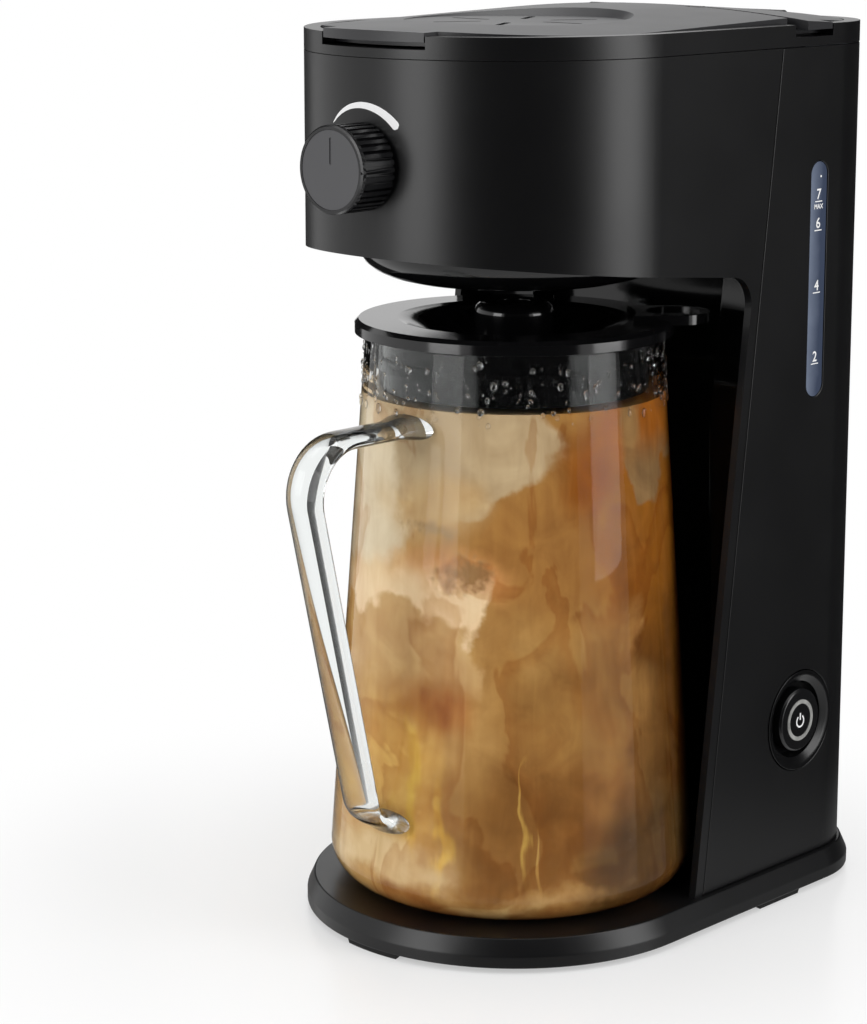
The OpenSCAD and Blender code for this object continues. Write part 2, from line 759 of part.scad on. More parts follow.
module riser_pipe() color(silicone) at_jug() {
    start = [-heater_l / 2 - heater_stub, heater_y - pipe_back, heater_z];
    low_back = [riser_x, heater_y - pipe_back, heater_z];
    low = [riser_x, riser_y, heater_z];
    top = [riser_x, riser_y, spout_z - pipe_r - 1];
    difference() {
        union() {
            bar(start, low_back, pipe_r);
            translate(low_back) sphere(pipe_r);
            bar(low_back, low, pipe_r);
            translate(low) sphere(pipe_r);
            bar(low, top, pipe_r);
        }
        translate(top - [0, 0, 20]) cylinder(far, pipe_r - pipe_wall, pipe_r - pipe_wall);
    }
}

module outlet_spout() color(lid_black) at_jug() {
    top = [riser_x, riser_y, spout_z];
    reach = basket_r - 12;
    tip = [riser_x, riser_y, 0] * reach / norm([riser_x, riser_y]) + [0, 0, spout_z];
    difference() {
        union() {
            for (end = [top, tip])
                translate(end - [0, 0, pipe_r + 1]) cylinder(2 * pipe_r + 2, pipe_r + 1, pipe_r + 1);
            bar(top, tip, pipe_r);
        }
        translate(tip - [0, 0, far]) cylinder(far, pipe_r - pipe_wall, pipe_r - pipe_wall);
        translate(top - [0, 0, far]) cylinder(far, pipe_r - pipe_wall, pipe_r - pipe_wall);
    }
}

module hose(z0, z1) translate([inlet_x, heater_y, z0]) difference() {
    cylinder(z1 - z0, hose_r, hose_r);
    translate([0, 0, -tiny]) cylinder(far, pipe_r + run_gap, pipe_r + run_gap);
}

hose_low_z = heater_z + heater_t / 2 + 1;
hose_high_z = tank_z - 1;
valve_low = valve_z - valve_l / 2;
valve_high = valve_z + valve_l / 2;

module tank_hose() color(silicone) at_jug() hose(valve_high, hose_high_z);
module heater_hose() color(silicone) at_jug() hose(hose_low_z, valve_low);

module check_valve() color(light_white) at_jug() translate([inlet_x, heater_y, 0]) difference() {
    union() {
        translate([0, 0, valve_low]) cylinder(valve_l, valve_r, valve_r);
        translate([0, 0, valve_low - nipple_l]) cylinder(valve_l + 2 * nipple_l, pipe_r, pipe_r);
    }
    translate([0, 0, valve_low - far / 2]) cylinder(far, pipe_r - pipe_wall, pipe_r - pipe_wall);
}

module hose_clamps() color(steel) at_jug()
    for (z = [hose_low_z + 3, valve_low - 3 - clamp_w, valve_high + 3, hose_high_z - 3 - clamp_w])
        translate([inlet_x, heater_y, z]) difference() {
            union() {
                cylinder(clamp_w, hose_r + 1, hose_r + 1);
                translate([hose_r - 1, -1.5, 0]) cube([6, 3, clamp_w]);
            }
            translate([0, 0, -tiny]) cylinder(far, hose_r + run_gap, hose_r + run_gap);
        }

module cord_gland() color(housing_black) at_jug() translate([0, tower_rear, gland_z]) rotate([-90, 0, 0])
    difference() {
        union() {
            translate([0, 0, -wall - 2]) cylinder(wall + 2, gland_r - fit_gap, gland_r - fit_gap);
            cylinder(2, gland_r + 2.5, gland_r + 1.5);
        }
        translate([0, 0, -far / 2]) cylinder(far, 3.6, 3.6);
    }

// Strength knob with its shaft, bush, clip and shutter
knob_back = head_front + knob_gap;
bush_flange_r = 8.5;
bush_back = head_front - wall - 1.5;
clip_t = 1.2;
shutter_t = 2;
shutter_gap = 0.3;
shutter_r = 12;
shutter_face = boss_face + shutter_gap + shutter_t;
shaft_front = knob_face - 4;
rib_depth = 0.8;
cap_r = knob_d / 2 - 1.6;
cap_t = 1.4;
cap_set = 0.15;
pointer_w = 0.9;
pointer_in = 1.8;
pointer_out = knob_d * 0.36;

module knob() color(gloss_black) at_jug() forward(knob_z) difference() {
    union() {
        translate([0, 0, knob_back]) cylinder(knob_face - knob_back - 2, knob_d / 2 - rib_depth, knob_d / 2 - rib_depth);
        for (i = [0:knob_ribs - 1]) rotate([0, 0, i * 360 / knob_ribs])
            translate([knob_d / 2 - rib_depth - 0.3, -0.7, knob_back])
                cube([rib_depth + 0.2, 1.4, knob_face - knob_back - 2]);
        translate([0, 0, knob_face - 2]) cylinder(1.4, knob_d / 2, knob_d / 2);
        translate([0, 0, knob_face - 0.6]) cylinder(0.6, knob_d / 2, knob_d / 2 - 0.6);
    }
    translate([0, 0, knob_face - cap_t]) cylinder(2 * cap_t, cap_r, cap_r);
    cylinder(shaft_front + 0.2, shaft_r + run_gap, shaft_r + run_gap);
}

module knob_cap() color(gloss_black) at_jug() forward(knob_z)
    translate([0, 0, knob_face - cap_t]) difference() {
        cylinder(cap_t - cap_set, cap_r - run_gap, cap_r - run_gap);
        translate([0, pointer_in, cap_t - cap_set - pointer_w / 2]) linear_extrude(cap_t)
            stadium(pointer_w, pointer_out - pointer_in);
    }

module knob_shaft() color(steel) at_jug() forward(knob_z) {
    translate([0, 0, shutter_face - shutter_t - shutter_gap - pivot_l + 0.4]) cylinder(pivot_l, pivot_r, pivot_r);
    translate([0, 0, shutter_face - shutter_t]) cylinder(shaft_front - shutter_face + shutter_t, shaft_r, shaft_r);
}

module shaft_bush() color(silicone) at_jug() forward(knob_z) difference() {
    union() {
        translate([0, 0, bush_back]) cylinder(head_front - bush_back - 0.4, bush_r - fit_gap, bush_r - fit_gap);
        translate([0, 0, bush_back - 1.5]) cylinder(1.5, bush_flange_r, bush_flange_r);
    }
    cylinder(far, shaft_r + run_gap, shaft_r + run_gap);
}

module shaft_clip() color(steel) at_jug() forward(knob_z)
    translate([0, 0, bush_back - 1.5 - shutter_gap - clip_t]) difference() {
        cylinder(clip_t, shaft_r + 2.5, shaft_r + 2.5);
        translate([0, 0, -tiny]) cylinder(far, shaft_r + run_gap, shaft_r + run_gap);
        translate([-1.5, 0, -tiny]) cube([3, far, far]);
    }

module strength_shutter() color(light_white) at_jug() forward(knob_z)
    translate([0, 0, shutter_face - shutter_t]) difference() {
        cylinder(shutter_t, shutter_r, shutter_r);
        translate([0, 0, -tiny]) cylinder(far, shaft_r + run_gap, shaft_r + run_gap);
        for (side = [-1, 1]) translate([0, side * port_offset, -tiny]) cylinder(far, port_r, port_r);
    }

// Power button, its bezel, light ring and switch
cup_floor = 1.5;
bezel_rise = 0.3;
bezel_land = 1;
bezel_dip = 1.6;
cap_depth = 5;
cap_edge = 0.8;
light_w = 1.6;
light_t = 0.9;
light_sink = 0.4;
stem_l = 6.5;
switch_w = 16;
switch_h = 22;

module button_bezel() color(gloss_black) at_jug() sideways(button_y, button_z) difference() {
    union() {
        translate([0, 0, -wall]) cylinder(wall + bezel_rise, bezel_r - fit_gap, bezel_r - fit_gap);
        translate([0, 0, -cup_depth]) cylinder(cup_depth - 0.5, well_r + 1.5, well_r + 1.5);
    }
    translate([0, 0, -bezel_dip]) cylinder(bezel_dip + bezel_rise + tiny, well_r, bezel_r - bezel_land);
    translate([0, 0, cup_floor - cup_depth]) cylinder(far, well_r, well_r);
    translate([0, 0, -far / 2]) cylinder(far, shaft_r + run_gap, shaft_r + run_gap);
}

module power_button() color(gloss_black) at_jug() sideways(button_y, button_z) difference() {
    union() {
        translate([0, 0, -cap_depth]) cylinder(cap_depth - cap_edge / 2, button_r, button_r);
        translate([0, 0, -cap_edge / 2]) cylinder(cap_edge, button_r, button_r - cap_edge);
        translate([0, 0, -cap_depth - stem_l]) cylinder(stem_l, shaft_r, shaft_r);
    }
    translate([0, 0, -light_sink]) difference() {
        cylinder(far, light_r, light_r);
        translate([0, 0, -tiny]) cylinder(far, light_r - light_w, light_r - light_w);
    }
}

module button_light() color(light_white) at_jug() sideways(button_y, button_z)
    translate([0, 0, -light_sink]) difference() {
        cylinder(light_t, light_r - run_gap, light_r - run_gap);
        translate([0, 0, -tiny]) cylinder(far, light_r - light_w + run_gap, light_r - light_w + run_gap);
    }

module power_switch() color(lid_black) at_jug() sideways(button_y, button_z) difference() {
    translate([-switch_h / 2, -switch_w / 2, -cup_depth - switch_l]) cube([switch_h, switch_w, switch_l]);
    translate([0, 0, -cap_depth - stem_l - button_travel - 1]) cylinder(far, shaft_r + 0.5, shaft_r + 0.5);
}

// Glass jug with its handle
wall_lean = atan2(jug_r - mouth_r, jug_h - jug_round);

function jug_wall_r(z, r) = r - max(0, z - jug_z - jug_round) * tan(wall_lean);

function foot_arc(r, z, round) = [
    for (a = [-90:15:0]) [r - round + round * cos(a), z + round + round * sin(a)]
];

module jug_solid() rotate_extrude() polygon(concat(
    [[0, jug_z]], foot_arc(jug_r, jug_z, jug_round), [[mouth_r, jug_top], [0, jug_top]]
));

module jug_glass() color(clear_glass) at_jug() difference() {
    jug_solid();
    rotate_extrude() polygon(concat(
        [[0, jug_z + glass_floor]],
        foot_arc(jug_r - glass_wall, jug_z + glass_floor, jug_round - glass_wall),
        [[mouth_r - glass_wall, jug_top + tiny], [0, jug_top + tiny]]
    ));
}

// The handle is a flat oval bar that runs in one plane, drawn as (y, z).
// Its bends are a hair thinner than its bars, which lap over their ends.
handle_lap = 0.8;
bend_thinner = 0.1;
foot_sink = 9.5;

module handle_section(thinner) {
    t = handle_t - 2 * thinner;
    w = handle_w - 2 * thinner;
    for (side = [-1, 1]) translate([0, side * (w - t) / 2]) circle(t / 2);
    square([t, w - t], center = true);
}

module handle_bend(centre, r, from, to) translate(centre) rotate([0, 0, from])
    rotate_extrude(angle = to - from) translate([r, 0]) handle_section(bend_thinner);

module handle_bar(from, to) {
    way = to - from;
    translate(from) rotate([0, 90, atan2(way.y, way.x)])
        linear_extrude(norm(way)) rotate(90) handle_section(0);
}

module jug_handle() color(clear_glass) at_jug() {
    top_z = jug_z + handle_top_h;
    centre = [-(handle_reach - handle_t / 2 + bend_thinner - handle_bend_r), top_z - handle_bend_r];
    grip_way = [sin(grip_lean), -cos(grip_lean)];
    grip_top = centre - handle_bend_r * [cos(grip_lean), sin(grip_lean)];
    grip_end = grip_top + grip_l * grip_way;
    foot_way = [sin(foot_lean), -cos(foot_lean)];
    foot_centre = grip_end + handle_foot_r * [cos(grip_lean), sin(grip_lean)];
    foot_top = foot_centre - handle_foot_r * [cos(foot_lean), sin(foot_lean)];
    foot_l = (foot_sink - foot_top.x - jug_r) / sin(foot_lean);
    difference() {
        rotate([90, 0, 90]) {
            handle_bar([-mouth_r + foot_sink, top_z], [centre.x - handle_lap, top_z]);
            handle_bend(centre, handle_bend_r, 90, 180 + grip_lean);
            handle_bar(grip_top - handle_lap * grip_way, grip_end + handle_lap * grip_way);
            handle_bend(foot_centre, handle_foot_r, 180 + grip_lean, 180 + foot_lean);
            handle_bar(foot_top - handle_lap * foot_way, foot_top + foot_l * foot_way);
        }
        jug_solid();
    }
}

// Jug lid: flange, funnel, hub and pouring tab
lid_seat = jug_top + fit_gap;
lid_top = lid_seat + flange_t;
funnel_z = lid_top - funnel_depth;
funnel_foot_r = hub_r + 4;
seal_w = 1.2;
seal_h = 4;
skirt_gap = 0.3;
skirt_r = mouth_r - glass_wall - seal_w - skirt_gap;
edge_slope = 1.5;
tab_rise = 2;
tab_sink = 1.5;
tab_rim = 2.5;
tab_recess = 1.2;
drain_r = 1.4;
drain_n = 6;

// Outline of the pouring tab, which starts on the flange beside the funnel
module tab_outline() difference() {
    union() {
        translate([tab_reach - tab_w / 2, 0]) circle(tab_w / 2);
        translate([0, -tab_w / 2]) square([tab_reach - tab_w / 2, tab_w]);
    }
    circle(funnel_r + edge_slope);
}

module jug_lid() color(gloss_black) at_jug() difference() {
    union() {
        translate([0, 0, lid_seat]) cylinder(flange_t - edge_slope, flange_r, flange_r);
        translate([0, 0, lid_top - edge_slope]) cylinder(edge_slope, flange_r, flange_r - edge_slope);
        translate([0, 0, lid_seat - skirt_h]) cylinder(skirt_h + tiny, skirt_r, skirt_r);
        rotate([0, 0, tab_turn]) slab(lid_top - tab_sink, lid_top + tab_rise) tab_outline();
    }
    translate([0, 0, funnel_z]) cylinder(funnel_depth + tiny, funnel_foot_r, funnel_r);
    translate([0, 0, lid_seat - skirt_h - tiny])
        cylinder(funnel_z - lid_wall - lid_seat + skirt_h, skirt_r - lid_wall, skirt_r - lid_wall);
    rotate([0, 0, tab_turn]) slab(lid_top + tab_rise - tab_recess, lid_top + tab_rise + tiny)
        translate([tab_reach - tab_w / 2, 0]) circle(tab_w / 2 - tab_rim);
    slab(0, lid_top) circle(hub_hole_r);
    for (i = [0:drain_n - 1]) rotate([0, 0, i * 360 / drain_n])
        slab(0, lid_top) translate([(hub_r + funnel_foot_r) / 2, 0]) circle(drain_r);
}

module jug_lid_hub() color(gloss_black) at_jug() rotate_extrude() {
    hub_top = lid_top + hub_rise;
    difference() {
        union() {
            translate([0, funnel_z]) square([hub_r, hub_top - hub_round - funnel_z]);
            translate([0, funnel_z]) square([hub_r - hub_round, hub_top - funnel_z]);
            translate([hub_r - hub_round, hub_top - hub_round]) circle(hub_round);
        }
        translate([0, funnel_z - tiny]) square([hub_r - lid_wall, hub_top - hub_round - funnel_z]);
        translate([0, funnel_z - tiny]) square([hub_hole_r, far]);
    }
}

module jug_lid_seal() color(rubber_grey) at_jug()
    translate([0, 0, lid_seat - (skirt_h + seal_h) / 2]) difference() {
        cylinder(seal_h, skirt_r + seal_w, skirt_r + seal_w);
        translate([0, 0, -tiny]) cylinder(far, skirt_r + run_gap, skirt_r + run_gap);
    }

base_plate();
bottom_cover();
rubber_feet();
base_screws();
front_housing();
back_shell();
tower_front();
head_floor();
top_collar();
front_lid();
front_lid_pin();
tank_lid();
tank_lid_pin();
brew_chamber();
steeping_basket();
basket_filter();
water_tank();
gauge_window();
heater();
heater_bracket();
thermostat();
thermal_fuse();
riser_pipe();
outlet_spout();
tank_hose();
heater_hose();
check_valve();
hose_clamps();
cord_gland();
knob();
knob_cap();
knob_shaft();
shaft_bush();
shaft_clip();
strength_shutter();
button_bezel();
power_button();
button_light();
power_switch();
jug_glass();
jug_handle();
jug_lid();
jug_lid_hub();
jug_lid_seal();
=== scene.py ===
# %% [markdown]
# # An iced tea maker, dressed on its CAD frame
# The machine is a tall black housing with a head that reaches over a glass jug.
# The CAD model gives every solid its place. This lesson adds what a solid
# doesn't have: softened edges, real finishes, blown glass, the drink and the
# small printed marks.

# %% Load the frame
import json
import math
import random

import bmesh
import bpy
from mathutils import Matrix, Vector

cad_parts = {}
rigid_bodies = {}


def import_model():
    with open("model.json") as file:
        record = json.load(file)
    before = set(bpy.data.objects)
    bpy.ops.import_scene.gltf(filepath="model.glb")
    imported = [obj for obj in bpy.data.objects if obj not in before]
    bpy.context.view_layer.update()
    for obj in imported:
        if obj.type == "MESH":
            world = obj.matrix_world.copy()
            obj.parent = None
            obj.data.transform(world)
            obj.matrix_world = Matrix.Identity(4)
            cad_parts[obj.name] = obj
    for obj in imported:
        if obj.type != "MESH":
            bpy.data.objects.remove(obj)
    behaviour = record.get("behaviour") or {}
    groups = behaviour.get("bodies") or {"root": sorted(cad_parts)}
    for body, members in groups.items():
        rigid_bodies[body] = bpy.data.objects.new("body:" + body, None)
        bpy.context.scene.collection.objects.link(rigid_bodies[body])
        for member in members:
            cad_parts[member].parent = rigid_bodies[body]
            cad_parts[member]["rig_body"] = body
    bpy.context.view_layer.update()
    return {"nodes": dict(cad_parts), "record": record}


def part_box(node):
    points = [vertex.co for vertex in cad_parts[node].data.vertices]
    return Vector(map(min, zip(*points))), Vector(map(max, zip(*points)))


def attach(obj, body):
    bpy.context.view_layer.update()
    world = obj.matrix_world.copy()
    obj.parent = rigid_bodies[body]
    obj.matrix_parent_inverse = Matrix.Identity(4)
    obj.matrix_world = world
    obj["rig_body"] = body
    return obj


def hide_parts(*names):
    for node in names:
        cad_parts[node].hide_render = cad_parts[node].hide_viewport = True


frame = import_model()
MM = 0.001
jug_low, jug_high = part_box("jug_glass")
jug_y = (jug_low.y + jug_high.y) / 2
print("nodes:", len(frame["nodes"]), "jug axis at y =", round(jug_y / MM, 2), "mm")

# %% [markdown]
# ## The camera
# The machine is seen from the front right, with a long lens a little above it. Its
# upright edges stay nearly upright, because the lens is long and a little shifted:
# the camera tips down less than it would have to, and the shift does the rest.

# %% Camera
camera_data = bpy.data.cameras.new("camera")
camera_data.sensor_width = 36
camera_data.lens = 100.7
camera_data.shift_y = -0.065
camera = bpy.data.objects.new("camera", camera_data)
bpy.context.scene.collection.objects.link(camera)
camera_yaw = math.radians(43.401)
camera_pitch = math.radians(11.377)
look = Vector((
    -math.sin(camera_yaw) * math.cos(camera_pitch),
    math.cos(camera_yaw) * math.cos(camera_pitch),
    -math.sin(camera_pitch),
))
camera.location = Vector((691.65 * MM, jug_y - 774.36 * MM, 385 * MM))
camera.rotation_euler = look.to_track_quat("-Z", "Y").to_euler()
bpy.context.scene.camera = camera
print("camera at", [round(c, 4) for c in camera.location])

# %% [markdown]
# ## Colour and nodes
# Colours are written as sRGB hex values, the way a designer reads them off a
# sample. Blender mixes light in linear values, so one function turns them over.
# A second one adds a node, sets it and links it, so that a material reads as a
# list of what it is made of.


# %% Helpers for materials
def linear(hex_colour):
    channels = [int(hex_colour[i:i + 2], 16) / 255 for i in (1, 3, 5)]
    return [c / 12.92 if c <= 0.04045 else ((c + 0.055) / 1.055) ** 2.4 for c in channels] + [1.0]


def add(tree, kind, inputs=None, **settings):
    made = tree.nodes.new(kind)
    for name, value in settings.items():
        setattr(made, name, value)
    for socket, value in (inputs or {}).items():
        if isinstance(value, bpy.types.NodeSocket):
            tree.links.new(value, made.inputs[socket])
        else:
            made.inputs[socket].default_value = value
    return made


def start_material(name):
    material = bpy.data.materials.new(name)
    material.use_nodes = True
    tree = material.node_tree
    shader = tree.nodes["Principled BSDF"]
    place = add(tree, "ShaderNodeTexCoord").outputs["Object"]
    return material, tree, shader, place


def per_mm(size):
    return 1 / (size * MM)


print("black reads as", [round(c, 4) for c in linear("#141416")[:3]])

# %% [markdown]
# ## Moulded plastics
# Every black part is injection moulded. The steel mould leaves its own surface on
# the plastic: spark-eroded steel gives a fine satin grain, polished steel a gloss.
# The same recipe makes them all, with the grain's width, its depth and the gloss
# as the numbers that differ. The grain is drawn a little coarser than the real one
# so that it shows in the picture.


# %% Black mouldings
def moulded(name, colour, other_colour, gloss, grain_mm, grain_depth, specular=0.5):
    material, tree, shader, place = start_material(name)
    grain = add(tree, "ShaderNodeTexNoise", {"Vector": place, "Scale": per_mm(grain_mm), "Detail": 2.0})
    flow = add(tree, "ShaderNodeTexNoise", {"Vector": place, "Scale": per_mm(38), "Detail": 3.0})
    shade = add(tree, "ShaderNodeMix", {"Factor": flow.outputs["Fac"]}, data_type="RGBA")
    shade.inputs[6].default_value = linear(colour)
    shade.inputs[7].default_value = linear(other_colour)
    rough = add(tree, "ShaderNodeMapRange", {
        "Value": flow.outputs["Fac"], "To Min": gloss[0], "To Max": gloss[1],
    })
    bump = add(tree, "ShaderNodeBump", {
        "Height": grain.outputs["Fac"], "Strength": 0.25, "Distance": grain_depth * MM,
    })
    tree.links.new(shade.outputs[2], shader.inputs["Base Color"])
    tree.links.new(rough.outputs["Result"], shader.inputs["Roughness"])
    tree.links.new(bump.outputs["Normal"], shader.inputs["Normal"])
    shader.inputs["IOR"].default_value = 1.5
    shader.inputs["Specular IOR Level"].default_value = specular
    return material


# Spark-eroded ABS spreads a lamp into a wide soft band.
satin_abs = moulded("satin_black_abs", "#0A0A0B", "#0E0E0F", (0.29, 0.36), 0.55, 0.05, 0.32)
# Polished ABS shows what stands in front of it.
gloss_abs = moulded("polished_black_abs", "#070708", "#0A0A0B", (0.08, 0.14), 2.5, 0.01, 0.45)
# The lids have a coarser grain that hides finger marks and looks greyer.
grained_abs = moulded("grained_black_abs", "#1B1B1D", "#222225", (0.36, 0.46), 0.7, 0.09, 0.45)
# Unseen mouldings are plain polypropylene, a little waxy.
dark_pp = moulded("dark_polypropylene", "#161618", "#1C1C1F", (0.38, 0.48), 1.2, 0.04, 0.35)
# The knob and the bezel are ABS between satin and gloss.
knob_abs = moulded("knob_black_abs", "#0B0B0C", "#101012", (0.22, 0.3), 0.5, 0.03, 0.45)
# The knob's face is spark-eroded more deeply, which turns it grey under a lamp.
knob_face_abs = moulded("knob_face_grained_abs", "#424244", "#4C4C4E", (0.48, 0.58), 0.45, 0.06, 0.4)
bezel_abs = moulded("bezel_black_abs", "#0B0B0C", "#101011", (0.18, 0.26), 0.6, 0.03, 0.28)
# The jug's lid is polypropylene from a polished mould.
lid_pp = moulded("jug_lid_polypropylene", "#070708", "#0B0B0C", (0.09, 0.15), 1.5, 0.02)
mouldings = (satin_abs, gloss_abs, grained_abs, dark_pp, knob_abs, knob_face_abs, bezel_abs, lid_pp)
print("mouldings:", [m.name for m in mouldings])

# %% [markdown]
# ## Rubber, metals and the pale plastics
# The feet are matt rubber. The hidden works are drawn steel and cast aluminium.
# The tank, the gauge window, the hoses and the light ring are pale plastics:
# frosted ones scatter light inside, which a little subsurface stands for.


# %% Rubber and metal
def metal(name, colour, gloss, streak_mm, stretch):
    material, tree, shader, place = start_material(name)
    along = add(tree, "ShaderNodeMapping", {"Vector": place, "Scale": stretch})
    streaks = add(tree, "ShaderNodeTexNoise", {
        "Vector": along.outputs["Vector"], "Scale": per_mm(streak_mm), "Detail": 4.0,
    })
    rough = add(tree, "ShaderNodeMapRange", {
        "Value": streaks.outputs["Fac"], "To Min": gloss[0], "To Max": gloss[1],
    })
    bump = add(tree, "ShaderNodeBump", {
        "Height": streaks.outputs["Fac"], "Strength": 0.15, "Distance": 0.02 * MM,
    })
    tree.links.new(rough.outputs["Result"], shader.inputs["Roughness"])
    tree.links.new(bump.outputs["Normal"], shader.inputs["Normal"])
    shader.inputs["Base Color"].default_value = linear(colour)
    shader.inputs["Metallic"].default_value = 1.0
    return material


# Moulded nitrile rubber swallows light and shows only its dusty grain.
foot_rubber = moulded("matt_nitrile_rubber", "#141414", "#1B1B1B", (0.72, 0.85), 0.8, 0.12, 0.3)
# The jug lid's seal is black silicone from a polished mould.
seal_silicone = moulded("polished_black_silicone", "#0A0A0B", "#0E0E0F", (0.14, 0.2), 1.5, 0.02, 0.4)
# Drawn stainless steel keeps fine lines along its length.
drawn_steel = metal("drawn_stainless_steel", "#C5C6C8", (0.22, 0.36), 0.6, (1.0, 0.2, 1.0))
# Die-cast aluminium is duller, with an even crystalline bloom.
cast_aluminium = metal("die_cast_aluminium", "#C9CACC", (0.42, 0.6), 1.4, (1.0, 1.0, 1.0))
print("metals:", drawn_steel.name, cast_aluminium.name)


# %% Pale plastics
def pale(name, colour, other_colour, gloss, patch_mm, scatter):
    material, tree, shader, place = start_material(name)
    cloud = add(tree, "ShaderNodeTexNoise", {"Vector": place, "Scale": per_mm(patch_mm), "Detail": 3.0})
    shade = add(tree, "ShaderNodeMix", {"Factor": cloud.outputs["Fac"]}, data_type="RGBA")
    shade.inputs[6].default_value = linear(colour)
    shade.inputs[7].default_value = linear(other_colour)
    rough = add(tree, "ShaderNodeMapRange", {
        "Value": cloud.outputs["Fac"], "To Min": gloss[0], "To Max": gloss[1],
    })
    tree.links.new(shade.outputs[2], shader.inputs["Base Color"])
    tree.links.new(rough.outputs["Result"], shader.inputs["Roughness"])
    shader.inputs["Subsurface Weight"].default_value = scatter
    shader.inputs["Subsurface Radius"].default_value = (2 * MM, 2 * MM, 2 * MM)
    shader.inputs["IOR"].default_value = 1.49
    return material


# The tank is unpigmented polypropylene, milky where it is thick.
frosted_pp = pale("frosted_polypropylene", "#AFB6C2", "#C3C9D2", (0.35, 0.5), 14, 0.2)
# The light ring is milky acrylic, unlit and so only grey.
ring_acrylic = pale("milky_acrylic", "#4C4C4B", "#C2C2BE", (0.25, 0.4), 4, 0.1)
# Silicone hoses and seals are soft and slightly translucent.
soft_silicone = pale("translucent_silicone", "#CFCFCB", "#DBDBD6", (0.45, 0.6), 6, 0.3)
# Printed marks are a matt white ink, a little uneven.
white_ink = pale("white_pad_print", "#EFEFEF", "#F8F8F8", (0.5, 0.65), 1.5, 0.0)
print("pale plastics:", [m.name for m in (frosted_pp, ring_acrylic, soft_silicone, white_ink)])

# %% Gauge window
# The gauge is clear styrene in front of the tank. The wall's opening shades it towards
# the back, so it runs from blue grey to a darker blue.
gauge_low, gauge_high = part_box("gauge_window")
gauge_styrene, tree, shader, place = start_material("blue_grey_styrene")
along_wall = add(tree, "ShaderNodeSeparateXYZ", {"Vector": place}).outputs["Y"]
haze = add(tree, "ShaderNodeTexNoise", {"Vector": place, "Scale": per_mm(12), "Detail": 3.0})
back_share = add(tree, "ShaderNodeMapRange", {
    "Value": along_wall, "From Min": gauge_low.y, "From Max": gauge_high.y,
})
hazy_share = add(tree, "ShaderNodeMath", {
    0: haze.outputs["Fac"], 1: 0.5, 2: back_share.outputs["Result"],
}, operation="MULTIPLY_ADD", use_clamp=True)
gauge_shade = add(tree, "ShaderNodeMix", {
    0: hazy_share.outputs[0], 6: linear("#7E889B"), 7: linear("#3F485C"),
}, data_type="RGBA")
gauge_rough = add(tree, "ShaderNodeMapRange", {"Value": haze.outputs["Fac"], "To Min": 0.1, "To Max": 0.18})
tree.links.new(gauge_shade.outputs[2], shader.inputs["Base Color"])
tree.links.new(gauge_rough.outputs["Result"], shader.inputs["Roughness"])
shader.inputs["IOR"].default_value = 1.59
shader.inputs["Specular IOR Level"].default_value = 0.3
print("gauge window is", round((gauge_high.y - gauge_low.y) / MM, 1), "mm wide")

# %% [markdown]
# ## Glass and water
# The jug is blown borosilicate: clear, with very slight waves
# in the wall. The waves are centimetres long and only show in what the glass
# reflects. Its edges, where the eye looks along the glass, get a darker painted shade in place of the
# dark surroundings that the sides refract. The thick bar of the handle gets the darkest painted edge. Water
# drops are clearer still.


# %% Borosilicate glass
def clear(name, ior, colour, edge_shade_colour, edge_shade_from, wave_mm, specular):
    material, tree, shader, place = start_material(name)
    waves = add(tree, "ShaderNodeTexNoise", {"Vector": place, "Scale": per_mm(wave_mm), "Detail": 1.0})
    bump = add(tree, "ShaderNodeBump", {
        "Height": waves.outputs["Fac"], "Strength": 0.12, "Distance": 0.02 * wave_mm * MM,
    })
    # Painted shade: where the surface is seen at a slant, the colour turns to the darker edge colour, in
    # place of the dark surroundings refracted there.
    facing = add(tree, "ShaderNodeLayerWeight", {"Blend": 0.5})
    edge = add(tree, "ShaderNodeMapRange", {
        "Value": facing.outputs["Facing"], "From Min": edge_shade_from, "From Max": edge_shade_from + 0.35,
    }, interpolation_type="SMOOTHSTEP")
    painted_edge_tint = add(tree, "ShaderNodeMix", {
        0: edge.outputs["Result"], 6: linear(colour), 7: linear(edge_shade_colour),
    }, data_type="RGBA")
    tree.links.new(bump.outputs["Normal"], shader.inputs["Normal"])
    tree.links.new(painted_edge_tint.outputs[2], shader.inputs["Base Color"])
    shader.inputs["Transmission Weight"].default_value = 1.0
    shader.inputs["Roughness"].default_value = 0.01
    shader.inputs["IOR"].default_value = ior
    shader.inputs["Specular IOR Level"].default_value = specular
    return material


# The thin wall of the jug hardly shows. Its IOR is set low to keep its reflections weak. Its edges are
# painted a dark brown shade.
jug_glass = clear("borosilicate_glass", 1.22, "#FCFEFD", "#4E443A", 0.64, 30, 0.2)
# The bar of the handle is painted darker where the eye looks along its side, as shade for the dark
# surroundings it refracts there.
bar_glass = clear("borosilicate_bar", 1.3, "#F0F3F2", "#1C1D1D", 0.35, 30, 0.5)
# A drop is a small lens that gathers the lamps. Its edge is painted a light grey shade.
water = clear("clear_water", 1.33, "#FFFFFF", "#C8C8C8", 0.6, 3, 0.8)
print("clear materials:", jug_glass.name, bar_glass.name, water.name)

# %% [markdown]
# ## Dress the CAD nodes
# The record gives each node a material slot. Every node takes the finish of its
# slot, seen or not, so that a lid can be opened on a finished inside.

